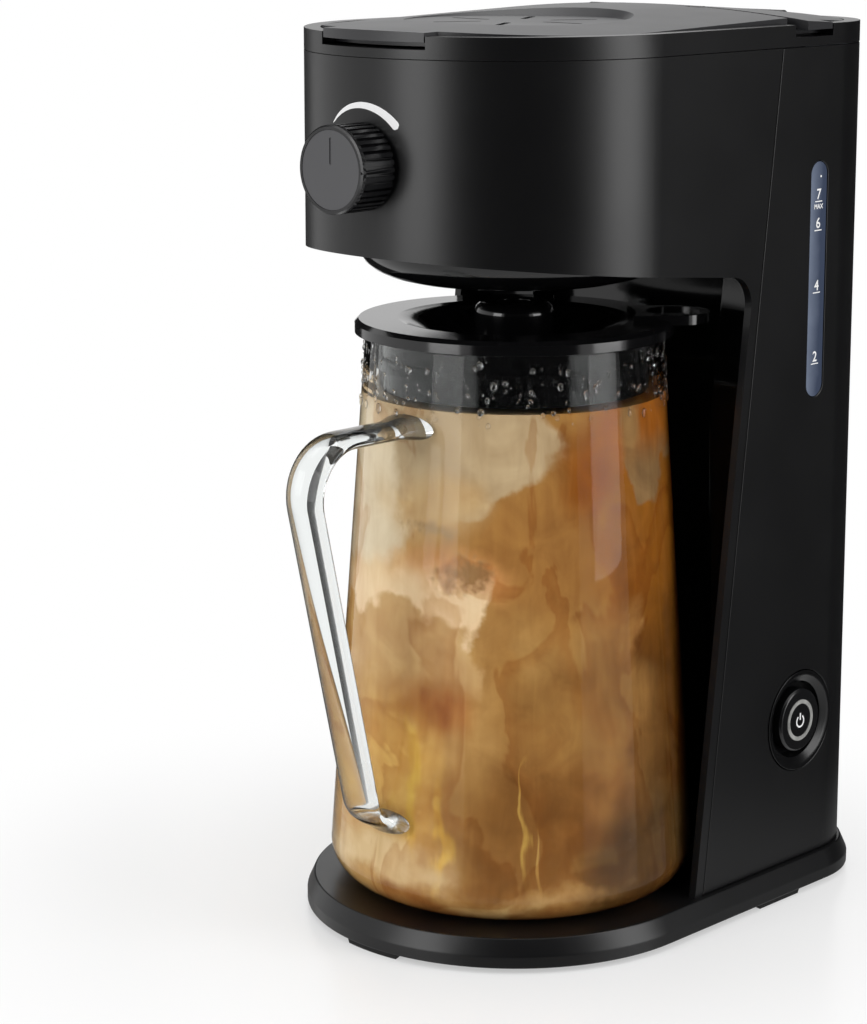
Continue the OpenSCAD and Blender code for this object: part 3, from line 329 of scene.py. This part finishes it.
# %% Slots to finishes
finish_of_slot = {
    "housing_plastic": satin_abs,
    "gloss_panel": gloss_abs,
    "lid_plastic": grained_abs,
    "inner_plastic": dark_pp,
    "knob_plastic": knob_abs,
    "bezel_plastic": bezel_abs,
    "jug_lid_plastic": lid_pp,
    "foot_rubber": foot_rubber,
    "steel_parts": drawn_steel,
    "aluminium_parts": cast_aluminium,
    "frosted_plastic": frosted_pp,
    "gauge_plastic": gauge_styrene,
    "silicone": soft_silicone,
    "white_print": white_ink,
    "jug_glass": jug_glass,
}
slot_of_node = {part["node"]: part["material_slot"] for part in frame["record"]["subparts"]}
body_of_node = {name: node["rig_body"] for name, node in frame["nodes"].items()}
finish_of_node = {name: finish_of_slot[slot] for name, slot in slot_of_node.items()}
finish_of_node["knob_cap"] = knob_face_abs
finish_of_node["button_light"] = ring_acrylic
finish_of_node["jug_lid_seal"] = seal_silicone
for name, node in frame["nodes"].items():
    node.data.materials.clear()
    node.data.materials.append(finish_of_node[name])
print("finishes given to", len(slot_of_node), "nodes")

# %% [markdown]
# ## Softened mouldings
# A moulded edge is never sharp: it has a radius of half a millimetre or so, and
# that thin curve is what catches the light. The CAD solid keeps its mesh, so a copy
# is merged, its flat facets are joined and its sharp edges are bevelled.


# %% Bevelled copies
def add_piece(name, shape, material, body, smooth_angle=35):
    data = bpy.data.meshes.new(name)
    shape.to_mesh(data)
    shape.free()
    data.materials.append(material)
    data.shade_smooth()
    data.set_sharp_from_angle(angle=math.radians(smooth_angle))
    piece = bpy.data.objects.new(name, data)
    bpy.context.scene.collection.objects.link(piece)
    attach(piece, body)
    return piece


def soften(node, radius_mm, sharper_than=32):
    shape = bmesh.new()
    shape.from_mesh(frame["nodes"][node].data)
    bmesh.ops.remove_doubles(shape, verts=shape.verts, dist=0.002 * MM)
    bmesh.ops.dissolve_limit(
        shape, angle_limit=math.radians(0.05), verts=shape.verts, edges=shape.edges, delimit={"NORMAL"}
    )
    limit = math.radians(sharper_than)
    sharp = [e for e in shape.edges if len(e.link_faces) == 2 and e.calc_face_angle() > limit]
    bmesh.ops.bevel(
        shape, geom=sharp, offset=radius_mm * MM, offset_type="OFFSET", segments=2, profile=0.5,
        affect="EDGES", clamp_overlap=True, material=-1,
    )
    finish = finish_of_node[node]
    smooth_angle = sharper_than + 3
    piece = add_piece(node + "_soft", shape, finish, body_of_node[node], smooth_angle)
    normals = piece.modifiers.new("even_normals", "WEIGHTED_NORMAL")
    normals.keep_sharp = True
    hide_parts(node)
    print(node, "faces:", len(piece.data.polygons))


# The radius of each piece's edges, in millimetres.
edge_radius = {
    "front_housing": 0.5, "back_shell": 0.5, "tower_front": 0.5, "head_floor": 0.4, "top_collar": 0.4,
    "front_lid": 0.4, "tank_lid": 0.4, "brew_chamber": 0.4, "knob": 0.08, "knob_cap": 0.1,
    "button_bezel": 0.2, "power_button": 0.2, "jug_lid": 0.5, "jug_lid_hub": 0.4,
}
for node, radius in edge_radius.items():
    soften(node, radius)
soften("base_plate", 0.45, 12)

# %% [markdown]
# ## The glass jug
# A jug is blown into a mould and its mouth is fire-polished, so its lip is round
# and its floor is thicker than its wall. One profile, turned about the axis, makes
# inside and outside together.

# %% Jug sizes
jug_r = (jug_high.x - jug_low.x) / 2
mouth_r = 54.7 * MM
glass_wall = 2.6 * MM
glass_floor = 5 * MM
jug_round = 14 * MM
jug_axis = Vector((0, jug_y, 0))


def arc(centre_r, centre_z, radius, start, end, steps):
    turns = [math.radians(start + (end - start) * i / steps) for i in range(steps + 1)]
    return [(centre_r + radius * math.cos(t), centre_z + radius * math.sin(t)) for t in turns]


def lathe(points, steps=128):
    shape = bmesh.new()
    verts = [shape.verts.new((r, jug_y, z)) for r, z in points]
    edges = [shape.edges.new(pair) for pair in zip(verts, verts[1:])]
    bmesh.ops.spin(
        shape, geom=verts + edges, cent=jug_axis, axis=(0, 0, 1), angle=math.tau, steps=steps,
        use_merge=True,
    )
    bmesh.ops.remove_doubles(shape, verts=shape.verts, dist=0.01 * MM)
    bmesh.ops.recalc_face_normals(shape, faces=shape.faces)
    return shape


floor_z = jug_low.z + glass_floor
inner_round = jug_round - glass_wall
inner_foot_r = jug_r - glass_wall
lip_z = jug_high.z - glass_wall / 2
print("jug radius:", round(jug_r / MM, 1), "mm at the foot,", round(mouth_r / MM, 1), "mm at the mouth")

# %% Turn the jug
outer_foot = arc(jug_r - jug_round, jug_low.z + jug_round, jug_round, -90, 0, 10)
lip = arc(mouth_r - glass_wall / 2, lip_z, glass_wall / 2, 0, 180, 8)
inner_foot = arc(inner_foot_r - inner_round, floor_z + inner_round, inner_round, 0, -90, 10)
jug_profile = [(0, jug_low.z)] + outer_foot + lip + inner_foot + [(0, floor_z)]
jug = add_piece("glass_jug", lathe(jug_profile), jug_glass, "jug", 60)
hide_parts("jug_glass")
print("jug faces:", len(jug.data.polygons))

# %% [markdown]
# ## The handle
# The handle is a glass bar of oval section, bent hot and fused to the wall. It
# swells where it meets the jug, because the soft glass was pushed against it. A grid
# is rolled into an oval tube that follows the handle's line.

# %% Handle line
handle_low, handle_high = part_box("jug_handle")
handle_w = 17.5 * MM
handle_t = 6.4 * MM
bend_r = 18.5 * MM
foot_bend_r = 10 * MM
grip_lean = 13.3
grip_l = 113.5 * MM
foot_lean = 65
sunk = 0.6 * MM
arm_swell = 0.4
arm_swell_l = 5 * MM
foot_swell = 0.3
foot_swell_l = 3.5 * MM


def outer_radius(z):
    rise = max(0.0, z - jug_low.z - jug_round)
    return jug_r - rise * (jug_r - mouth_r) / (jug_high.z - jug_low.z - jug_round)


def way(lean):
    return Vector((math.sin(math.radians(lean)), -math.cos(math.radians(lean))))


def stretch_between(start, end, steps):
    return [tuple(start.lerp(end, i / steps)) for i in range(steps + 1)]


arm_z = handle_high.z - handle_t / 2
bend_y = handle_low.y + handle_t / 2 + bend_r
arm_start = Vector((jug_y - outer_radius(arm_z) + sunk, arm_z))
arm = stretch_between(arm_start, Vector((bend_y, arm_z)), 10)
bend = arc(bend_y, arm_z - bend_r, bend_r, 90, 180 + grip_lean, 16)
grip_end = Vector(bend[-1]) + grip_l * way(grip_lean)
grip = stretch_between(Vector(bend[-1]), grip_end, 14)
foot_centre = grip_end - foot_bend_r * Vector((way(grip_lean).y, -way(grip_lean).x))
foot_bend = arc(foot_centre.x, foot_centre.y, foot_bend_r, 180 + grip_lean, 180 + foot_lean, 8)
foot_l = (jug_y - jug_r + sunk - foot_bend[-1][0]) / way(foot_lean).x
foot = stretch_between(Vector(foot_bend[-1]), Vector(foot_bend[-1]) + foot_l * way(foot_lean), 6)
handle_line = [Vector((0, y, z)) for y, z in arm[:-1] + bend[:-1] + grip[:-1] + foot_bend[:-1] + foot]
print("handle points:", len(handle_line))


# %% Sweep the handle
def bent_grid(across, along, place_point):
    shape = bmesh.new()
    bmesh.ops.create_grid(shape, x_segments=across, y_segments=along, size=0.5)
    for v in shape.verts:
        v.co = place_point(v.co.x + 0.5, v.co.y + 0.5)
    bmesh.ops.remove_doubles(shape, verts=shape.verts, dist=0.0005 * MM)
    return shape


def handle_point(share_round, share_along):
    last = len(handle_line) - 1
    i = round(share_along * last)
    ahead = (handle_line[min(i + 1, last)] - handle_line[max(i - 1, 0)]).normalized()
    out = ahead.cross(Vector((1, 0, 0)))
    from_arm = (handle_line[i] - handle_line[0]).length / arm_swell_l
    from_foot = (handle_line[i] - handle_line[last]).length / foot_swell_l
    swell = 1 + arm_swell * math.exp(-from_arm ** 2) + foot_swell * math.exp(-from_foot ** 2)
    turn = share_round * math.tau
    side = Vector((1, 0, 0)) * math.cos(turn) * handle_w / 2
    return handle_line[i] + swell * (side + out * math.sin(turn) * handle_t / 2)


handle_shape = bent_grid(40, len(handle_line) - 1, handle_point)
bmesh.ops.holes_fill(handle_shape, edges=handle_shape.edges, sides=0)
bmesh.ops.recalc_face_normals(handle_shape, faces=handle_shape.faces)
handle = add_piece("glass_handle", handle_shape, bar_glass, "jug", 60)
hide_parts("jug_handle")
print("handle faces:", len(handle.data.polygons))

# %% [markdown]
# ## The drink
# Milk sinks into cold tea in billows with ragged lower edges, and doesn't mix for
# a while. The jug is full of that: cream at the upper left, amber at the upper right,
# brown tea at the right and golden wisps below. Each billow is an oval patch of
# colour, laid over the one before it, and a noise that bends the place makes its
# edge ragged. The patches lie on two of the drink's own axes, across and up.

# %% Drink surface
drink_top = 198 * MM
in_glass = 1.2 * MM
drink_floor = jug_low.z + in_glass
drink_foot = arc(jug_r - jug_round, jug_low.z + jug_round, jug_round - in_glass, -90, 0, 10)
top_r = outer_radius(drink_top) - in_glass
drink_profile = [(0, drink_floor)] + drink_foot
drink_profile += [(top_r, drink_top), (top_r - 2 * MM, drink_top - MM), (0, drink_top - MM)]
across_drink = Vector((0.712, 0.702, 0)) / inner_foot_r
drink_h = drink_top - drink_floor
print("drink from", round(drink_floor / MM, 1), "to", round(drink_top / MM, 1), "mm")

# %% Places on the drink
tea, tree, shader, place = start_material("tea_with_milk")
centred = add(tree, "ShaderNodeMapping", {"Vector": place, "Location": (0, -jug_y, 0)}).outputs["Vector"]
side = add(tree, "ShaderNodeVectorMath", {
    0: centred, 1: across_drink,
}, operation="DOT_PRODUCT").outputs["Value"]
height = add(tree, "ShaderNodeSeparateXYZ", {"Vector": centred}).outputs["Z"]
level = add(tree, "ShaderNodeMapRange", {
    "Value": height, "From Min": drink_floor, "From Max": drink_top,
}).outputs["Result"]
flat_place = add(tree, "ShaderNodeCombineXYZ", {"X": side, "Y": level}).outputs["Vector"]
falling = add(tree, "ShaderNodeMapping", {"Vector": place, "Scale": (1, 1, 0.16)}).outputs["Vector"]
drawn_out = add(tree, "ShaderNodeMapping", {"Vector": place, "Scale": (1, 1, 0.6)}).outputs["Vector"]


def bent_place(start, seen_at, width_mm, bend_mm, detail):
    noise = add(tree, "ShaderNodeTexNoise", {
        "Vector": seen_at, "Scale": per_mm(width_mm), "Detail": detail, "Roughness": 0.5,
    }).outputs["Color"]
    offset = add(tree, "ShaderNodeVectorMath", {0: noise, 1: (0.5, 0.5, 0.5)}, operation="SUBTRACT")
    reach = (2 * bend_mm * MM / inner_foot_r, 2 * bend_mm * MM / drink_h, 0)
    scaled = add(tree, "ShaderNodeVectorMath", {
        0: offset.outputs["Vector"], 1: reach,
    }, operation="MULTIPLY")
    return add(tree, "ShaderNodeVectorMath", {0: start, 1: scaled.outputs["Vector"]}).outputs["Vector"]


smooth = bent_place(flat_place, place, 45, 26, 2.0)
ragged = bent_place(bent_place(flat_place, place, 40, 18, 2.0), place, 7, 5, 4.0)
wispy = bent_place(bent_place(flat_place, place, 30, 8, 2.0), falling, 5, 4, 3.0)
frothy = bent_place(ragged, place, 2.6, 6, 3.0)

# %% Billows
# Each row: colour, middle across and up, half sizes across and up, softness, edge,
# and 1 or -1 where the patch fades upwards or downwards.
billows = [
    ("#573410", 0.92, 0.42, 0.34, 0.80, 0.60, smooth, 0),
    ("#BE955B", -0.85, 0.45, 0.55, 0.70, 0.70, smooth, 0),
    ("#855117", 0.62, 0.78, 0.42, 0.22, 0.60, smooth, 0),
    ("#986A36", 0.08, 0.74, 0.40, 0.12, 0.60, wispy, 0),
    ("#B59C78", -0.36, 0.95, 0.52, 0.13, 0.08, ragged, 0),
    ("#D4C2A4", -0.86, 0.84, 0.26, 0.18, 0.20, ragged, 0),
    ("#C2A172", -0.42, 0.80, 0.24, 0.08, 0.60, smooth, 0),
    ("#824812", 0.36, 0.88, 0.11, 0.08, 0.60, wispy, 0),
    ("#955619", 0.62, 0.96, 0.20, 0.08, 0.50, wispy, 0),
    ("#80623F", 0.68, 0.88, 0.16, 0.09, 0.09, ragged, 1),
    ("#8A673E", 0.62, 0.96, 0.05, 0.08, 0.60, wispy, 0),
    ("#74300F", 0.95, 0.92, 0.09, 0.14, 0.50, wispy, 0),
    ("#C98F56", -0.38, 0.67, 0.30, 0.05, 0.60, ragged, 0),
    ("#E3C69E", -0.60, 0.63, 0.44, 0.10, 0.07, ragged, 1),
    ("#C49E6B", -0.56, 0.49, 0.34, 0.11, 0.08, ragged, -1),
    ("#9A7850", -0.34, 0.675, 0.11, 0.035, 0.60, frothy, 0),
    ("#A88A62", -0.50, 0.775, 0.10, 0.02, 0.60, frothy, 0),
    ("#A57C46", 0.30, 0.57, 0.36, 0.11, 0.12, ragged, 1),
    ("#936A38", 0.36, 0.44, 0.32, 0.09, 0.50, smooth, 0),
    ("#A06634", -0.50, 0.42, 0.22, 0.05, 0.60, wispy, 0),
    ("#D8AA5C", -0.64, 0.28, 0.22, 0.14, 0.50, wispy, 0),
    ("#E0B856", -0.56, 0.25, 0.03, 0.12, 0.70, wispy, 0),
    ("#DCB050", -0.42, 0.16, 0.02, 0.09, 0.70, wispy, 0),
    ("#81572A", 0.10, 0.20, 0.45, 0.12, 0.60, smooth, 0),
    ("#B68F48", 0.04, 0.24, 0.009, 0.07, 0.70, wispy, 0),
    ("#AE8742", 0.05, 0.16, 0.016, 0.06, 0.70, wispy, 0),
    ("#B0884A", 0.12, 0.12, 0.010, 0.06, 0.70, wispy, 0),
    ("#573E1F", 0.72, 0.16, 0.26, 0.12, 0.60, smooth, 0),
    ("#D8BC8E", -0.70, 0.10, 0.36, 0.06, 0.30, ragged, 1),
    ("#C49E66", 0.02, 0.05, 0.45, 0.03, 0.60, ragged, 1),
    ("#A06C38", 0.30, -0.01, 1.40, 0.03, 0.60, smooth, 0),
]


def share_between(value, start, end):
    return add(tree, "ShaderNodeMapRange", {
        "Value": value, "From Min": start, "From Max": end,
    }, interpolation_type="SMOOTHSTEP").outputs["Result"]


def both(share, other_share):
    return add(tree, "ShaderNodeMath", {0: share, 1: other_share}, operation="MULTIPLY").outputs[0]


def lay_over(colour, hex_colour, middle, half, softness, edge, fades):
    from_middle = add(tree, "ShaderNodeVectorMath", {0: edge, 1: (*middle, 0)}, operation="SUBTRACT")
    in_halves = add(tree, "ShaderNodeVectorMath", {
        0: from_middle.outputs["Vector"], 1: (1 / half[0], 1 / half[1], 0),
    }, operation="MULTIPLY").outputs["Vector"]
    reach = add(tree, "ShaderNodeVectorMath", {0: in_halves}, operation="LENGTH").outputs["Value"]
    cover = share_between(reach, 1 + softness, 1 - softness)
    if fades:
        up = add(tree, "ShaderNodeSeparateXYZ", {"Vector": in_halves}).outputs["Y"]
        cover = both(cover, share_between(up, fades, -0.3 * fades))
    laid = add(tree, "ShaderNodeMix", {0: cover, 6: colour, 7: linear(hex_colour)}, data_type="RGBA")
    return laid.outputs[2]


colour = linear("#A0743E")
for hex_colour, middle_side, middle_up, half_side, half_up, softness, edge, fades in billows:
    middle = (middle_side, middle_up)
    colour = lay_over(colour, hex_colour, middle, (half_side, half_up), softness, edge, fades)
print("billows:", len(billows))

# %% Falling wisps
# Fine upright streaks, where the milk falls, and slow clouds shade all of it a little.
# Folds of darker tea lie between them, each with one sharp edge and one that fades.
streaks = add(tree, "ShaderNodeTexNoise", {
    "Vector": falling, "Scale": per_mm(7), "Detail": 4.0, "Roughness": 0.55, "Distortion": 1.2,
})
clouds = add(tree, "ShaderNodeTexNoise", {
    "Vector": place, "Scale": per_mm(16), "Detail": 4.0, "Roughness": 0.55, "Distortion": 0.8,
})
swirls = add(tree, "ShaderNodeTexNoise", {
    "Vector": drawn_out, "Scale": per_mm(34), "Detail": 4.0, "Roughness": 0.5, "Distortion": 0.7,
}).outputs["Fac"]
fold_edge = share_between(swirls, 0.49, 0.52)
fold_fade = share_between(swirls, 0.68, 0.5)
fold_strength = 0.52
fold_cover = both(both(fold_edge, fold_fade), fold_strength)
colour = add(tree, "ShaderNodeMix", {
    0: fold_cover, 6: colour, 7: linear("#D8B690"),
}, data_type="RGBA", blend_type="MULTIPLY").outputs[2]
for shading, amount in ((streaks, 0.3), (clouds, 0.55)):
    colour = add(tree, "ShaderNodeMix", {
        0: amount, 6: colour, 7: shading.outputs["Fac"],
    }, data_type="RGBA", blend_type="SOFT_LIGHT").outputs[2]
tree.links.new(colour, shader.inputs["Base Color"])
shader.inputs["Roughness"].default_value = 0.4
shader.inputs["IOR"].default_value = 1.34
shader.inputs["Specular IOR Level"].default_value = 0.1
drink = add_piece("tea_drink", lathe(drink_profile), tea, "jug", 50)
print("drink faces:", len(drink.data.polygons))

# %% [markdown]
# ## Drops on the glass
# Cold tea makes the warm air's water settle on the glass above the drink. The
# drops are of many sizes and lie at random, with a fixed seed so that each run
# gives the same jug. A drop is a flattened ball, half sunk in the wall.

# %% Condensed drops
random.seed(7)
drop_shape = bmesh.new()
drop_count = 420
drop_sizes_mm = [0.4, 0.5, 0.7, 0.9, 1.2]
drop_flatness = 0.6
lowest_drop = drink_top - 4 * MM
highest_drop = jug_high.z - 3.5 * MM
for i in range(drop_count):
    z = random.uniform(lowest_drop, highest_drop)
    turn = random.uniform(0, math.tau)
    radius = random.choice(drop_sizes_mm) * random.uniform(0.7, 1.2) * MM
    out = Vector((math.cos(turn), math.sin(turn), 0))
    middle = jug_axis + out * outer_radius(z) + Vector((0, 0, z))
    flat = Matrix.Translation(middle) @ out.to_track_quat("Z", "Y").to_matrix().to_4x4()
    flat = flat @ Matrix.Diagonal((radius, radius * random.uniform(1, 1.5), radius * drop_flatness, 1))
    bmesh.ops.create_uvsphere(drop_shape, u_segments=8, v_segments=5, radius=1, matrix=flat)
drops = add_piece("water_drops", drop_shape, water, "jug", 80)
print("drops:", drop_count, "faces:", len(drops.data.polygons))

# %% [markdown]
# ## Printed marks
# A plain crescent round the knob grows from weak to strong. It is pad printed on
# the head, so it follows the round front. The gauge carries its numbers and lines,
# and the button the usual power sign. Each is a skin a few hundredths of a
# millimetre thick.

# %% Strength crescent
knob_low, knob_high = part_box("knob")
knob_z = (knob_low.z + knob_high.z) / 2
head_low, head_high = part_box("front_housing")
head_r = (head_high.x - head_low.x) / 2
head_centre_y = head_low.y + head_r
ink_lift = 0.06 * MM
crescent_start = 141
crescent_end = 43
crescent_r = 21.9 * MM
crescent_closes_in = 1.9 * MM
crescent_w = 3.2 * MM
crescent_growth = 0.55
round_from = 0.955


def head_point(x, z):
    return Vector((x, head_centre_y - math.sqrt((head_r + ink_lift) ** 2 - x ** 2), z))


def crescent_point(share_across, share_along):
    turn = math.radians(crescent_start + (crescent_end - crescent_start) * share_along)
    middle_r = crescent_r - crescent_closes_in * share_along
    past_round = max(0.0, (share_along - round_from) / (1 - round_from))
    round_end = math.sqrt(max(0.0, 1 - past_round ** 2))
    width = crescent_w * share_along ** crescent_growth * round_end
    r = middle_r + (share_across - 0.5) * width
    return head_point(r * math.cos(turn), knob_z + r * math.sin(turn))


crescent = add_piece("strength_mark", bent_grid(4, 60, crescent_point), white_ink, "machine")
print("crescent faces:", len(crescent.data.polygons))

# %% Power sign
button_low, button_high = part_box("power_button")
button_middle = (button_low + button_high) / 2
sign_x = button_high.x + ink_lift
ring_start = 125
ring_turn = 290
ring_r = 1.85 * MM
ring_w = 0.7 * MM
ring_drop = 0.4 * MM
stroke_w = 0.75 * MM
stroke_from = 0.1 * MM
stroke_l = 2.7 * MM


def ring_point(share_across, share_along):
    turn = math.radians(ring_start + ring_turn * share_along)
    r = ring_r + ring_w * share_across
    z = button_middle.z - ring_drop + r * math.sin(turn)
    return Vector((sign_x, button_middle.y + r * math.cos(turn), z))


def stroke_point(share_across, share_along):
    y = button_middle.y + (share_across - 0.5) * stroke_w
    return Vector((sign_x, y, button_middle.z + stroke_from + stroke_l * share_along))


add_piece("power_sign_ring", bent_grid(2, 40, ring_point), white_ink, "button")
add_piece("power_sign_stroke", bent_grid(2, 4, stroke_point), white_ink, "button")
print("power sign at x =", round(sign_x / MM, 2), "mm")

# %% Gauge scale
gauge_y = (gauge_low.y + gauge_high.y) / 2
gauge_x = gauge_high.x + ink_lift
face_right = Matrix(((0, 0, 1, gauge_x), (1, 0, 0, gauge_y), (0, 1, 0, 0), (0, 0, 0, 1)))
line_w = 4.4 * MM
line_t = 0.4 * MM
number_mm = 5.4
number_bolder_mm = 0.08
number_rise = 0.9 * MM
max_mm = 2.5
max_bolder_mm = 0.06
max_drop = 2.7 * MM
glint_r = 0.45 * MM


def print_word(name, word, size_mm, z, bolder_mm):
    curve = bpy.data.curves.new(name, "FONT")
    curve.body = word
    curve.size = size_mm * MM
    curve.offset = bolder_mm * MM
    curve.align_x = "CENTER"
    text = bpy.data.objects.new(name, curve)
    bpy.context.scene.collection.objects.link(text)
    bpy.context.view_layer.update()
    shape = bmesh.new()
    shape.from_mesh(bpy.data.meshes.new_from_object(text))
    bpy.data.objects.remove(text)
    bmesh.ops.transform(shape, matrix=Matrix.Translation((0, 0, z)) @ face_right, verts=shape.verts)
    add_piece(name, shape, white_ink, "machine")


def print_line(name, z):
    def line_point(share_across, share_along):
        y = gauge_y + (share_along - 0.5) * line_w
        return Vector((gauge_x, y, z + (share_across - 0.5) * line_t))
    add_piece(name, bent_grid(2, 6, line_point), white_ink, "machine")


scale_lines = {"7": 265.1 * MM, "6": 254.4 * MM, "4": 231.2 * MM, "2": 204.5 * MM}
for digit, line_z in scale_lines.items():
    print_line("gauge_line_" + digit, line_z)
    print_word("gauge_number_" + digit, digit, number_mm, line_z + number_rise, number_bolder_mm)
print_word("gauge_max", "MAX", max_mm, scale_lines["7"] - max_drop, max_bolder_mm)
# A painted highlight: a small white glint near the top of the gauge window, laid on in the white ink like
# the marks.
gauge_glint = bmesh.new()
glint_place = Matrix.Translation((0, 1.1 * MM, gauge_high.z - 5.5 * MM)) @ face_right
bmesh.ops.create_circle(gauge_glint, cap_ends=True, segments=16, radius=glint_r, matrix=glint_place)
add_piece("gauge_glint", gauge_glint, white_ink, "machine")
print("gauge marks:", 2 * len(scale_lines) + 2)

# %% [markdown]
# ## The studio
# The machine stands on a pale floor under soft light: a tall softbox in front, one
# at its right side and one above. Black gloss shows its surroundings, so two black
# cards stand beside the camera, as a photographer sets them, and leave dark bands
# between the bright ones. Two more stand behind the machine, and its round edges
# turn dark against the white. The cards only show in mirrored and refracted light
# and take none from matt surfaces. The floor thins out to the white surroundings.

# %% Floor
floor_r = 4
shade_from = 0.08
shade_to = 0.27
most_shade = 0.55
floor_mesh = bmesh.new()
bmesh.ops.create_circle(floor_mesh, segments=96, radius=floor_r, cap_ends=True)
floor_data = bpy.data.meshes.new("floor")
floor_mesh.to_mesh(floor_data)
floor_mesh.free()
floor = bpy.data.objects.new("floor", floor_data)
bpy.context.scene.collection.objects.link(floor)
floor_paint, tree, shader, place = start_material("pale_floor")
speckle = add(tree, "ShaderNodeTexNoise", {"Vector": place, "Scale": per_mm(3), "Detail": 2.0})
floor_rough = add(tree, "ShaderNodeMapRange", {
    "Value": speckle.outputs["Fac"], "To Min": 0.2, "To Max": 0.28,
})
tree.links.new(floor_rough.outputs["Result"], shader.inputs["Roughness"])
shader.inputs["Base Color"].default_value = linear("#F6F6F6")
from_middle = add(tree, "ShaderNodeVectorMath", {0: place}, operation="LENGTH")
thins = add(tree, "ShaderNodeMapRange", {
    "Value": from_middle.outputs["Value"], "From Min": shade_from, "From Max": shade_to,
    "To Min": most_shade, "To Max": 0.0,
}, interpolation_type="SMOOTHSTEP")
# Beyond its shade the floor is as white as the surroundings, and open to all but the camera.
ray = add(tree, "ShaderNodeLightPath")
open_floor = add(tree, "ShaderNodeBsdfTransparent")
white_floor = add(tree, "ShaderNodeEmission")
beyond = add(tree, "ShaderNodeMixShader", {
    0: ray.outputs["Is Camera Ray"], 1: open_floor.outputs["BSDF"], 2: white_floor.outputs["Emission"],
})
faded = add(tree, "ShaderNodeMixShader", {
    0: thins.outputs["Result"], 1: beyond.outputs["Shader"], 2: shader.outputs["BSDF"],
})
tree.links.new(faded.outputs["Shader"], tree.nodes["Material Output"].inputs["Surface"])
floor_paint.cycles.emission_sampling = "NONE"
floor_data.materials.append(floor_paint)
print("floor radius", floor_r, "m, shaded to", shade_to, "m")


# %% Lamps and cards
lamp_distance = 1.3
lamp_z = 0.55
lit_spot = Vector((0, 0.02, 0.18))
card_distance = 1.35
card_z = 0.2
card_h = 2.4


def toward(azimuth, distance, z):
    turn = math.radians(azimuth)
    return Vector((distance * math.cos(turn), jug_y + distance * math.sin(turn), z))


def aim(thing, place_at, target):
    thing.location = place_at
    thing.rotation_euler = (target - place_at).to_track_quat("-Z", "Y").to_euler()


def softbox(name, place_at, width, height, power):
    data = bpy.data.lights.new(name, "AREA")
    data.shape = "RECTANGLE"
    data.size = width
    data.size_y = height
    data.energy = power
    lamp = bpy.data.objects.new(name, data)
    bpy.context.scene.collection.objects.link(lamp)
    aim(lamp, place_at, lit_spot)


softbox("side_softbox", toward(21, lamp_distance, lamp_z), 0.6, 1.2, 10)
softbox("front_softbox", toward(-98, lamp_distance, lamp_z), 0.6, 1.2, 10)
softbox("top_softbox", Vector((0, 0.1, 1.5)), 1.1, 1.1, 9)
# The cards are matt black, and clear to light that a matt surface has spread.
card_paint, tree, shader, place = start_material("black_card")
path_so_far = add(tree, "ShaderNodeLightPath")
mirrored = add(tree, "ShaderNodeMath", {
    0: path_so_far.outputs["Diffuse Depth"], 1: 0.5,
}, operation="LESS_THAN")
tree.links.new(mirrored.outputs[0], shader.inputs["Alpha"])
shader.inputs["Base Color"].default_value = linear("#0A0A0A")
shader.inputs["Roughness"].default_value = 0.9


def card(name, azimuth, width):
    shape = bmesh.new()
    bmesh.ops.create_grid(shape, x_segments=1, y_segments=1, size=0.5)
    bmesh.ops.scale(shape, vec=(width, card_h, 1), verts=shape.verts)
    data = bpy.data.meshes.new(name)
    shape.to_mesh(data)
    shape.free()
    data.materials.append(card_paint)
    board = bpy.data.objects.new(name, data)
    bpy.context.scene.collection.objects.link(board)
    aim(board, toward(azimuth, card_distance, card_z), Vector((0, jug_y, card_z)))
    board.visible_camera = False
    board.visible_diffuse = False
    board.visible_shadow = False


card("front_card", -40, 2.1)
card("side_card", 61, 1.2)
card("back_left_card", 158.5, 0.65)
card("back_right_card", 101, 0.77)

# %% White surroundings
world = bpy.data.worlds.new("studio")
bpy.context.scene.world = world
world.use_nodes = True
world_tree = world.node_tree
surround = world_tree.nodes["Background"]
surround.inputs["Color"].default_value = (1, 1, 1, 1)
ray = add(world_tree, "ShaderNodeLightPath")
seen = add(world_tree, "ShaderNodeMath", {
    0: ray.outputs["Is Camera Ray"], 1: ray.outputs["Is Transmission Ray"],
}, operation="MAXIMUM")
shown = add(world_tree, "ShaderNodeMath", {
    0: seen.outputs[0], 1: ray.outputs["Is Glossy Ray"],
}, operation="MAXIMUM")
strength = add(world_tree, "ShaderNodeMapRange", {"Value": shown.outputs[0], "To Min": 0.42, "To Max": 1.0})
world_tree.links.new(strength.outputs["Result"], surround.inputs["Strength"])
bpy.context.scene.view_settings.view_transform = "Standard"
print("surroundings:", world.name)
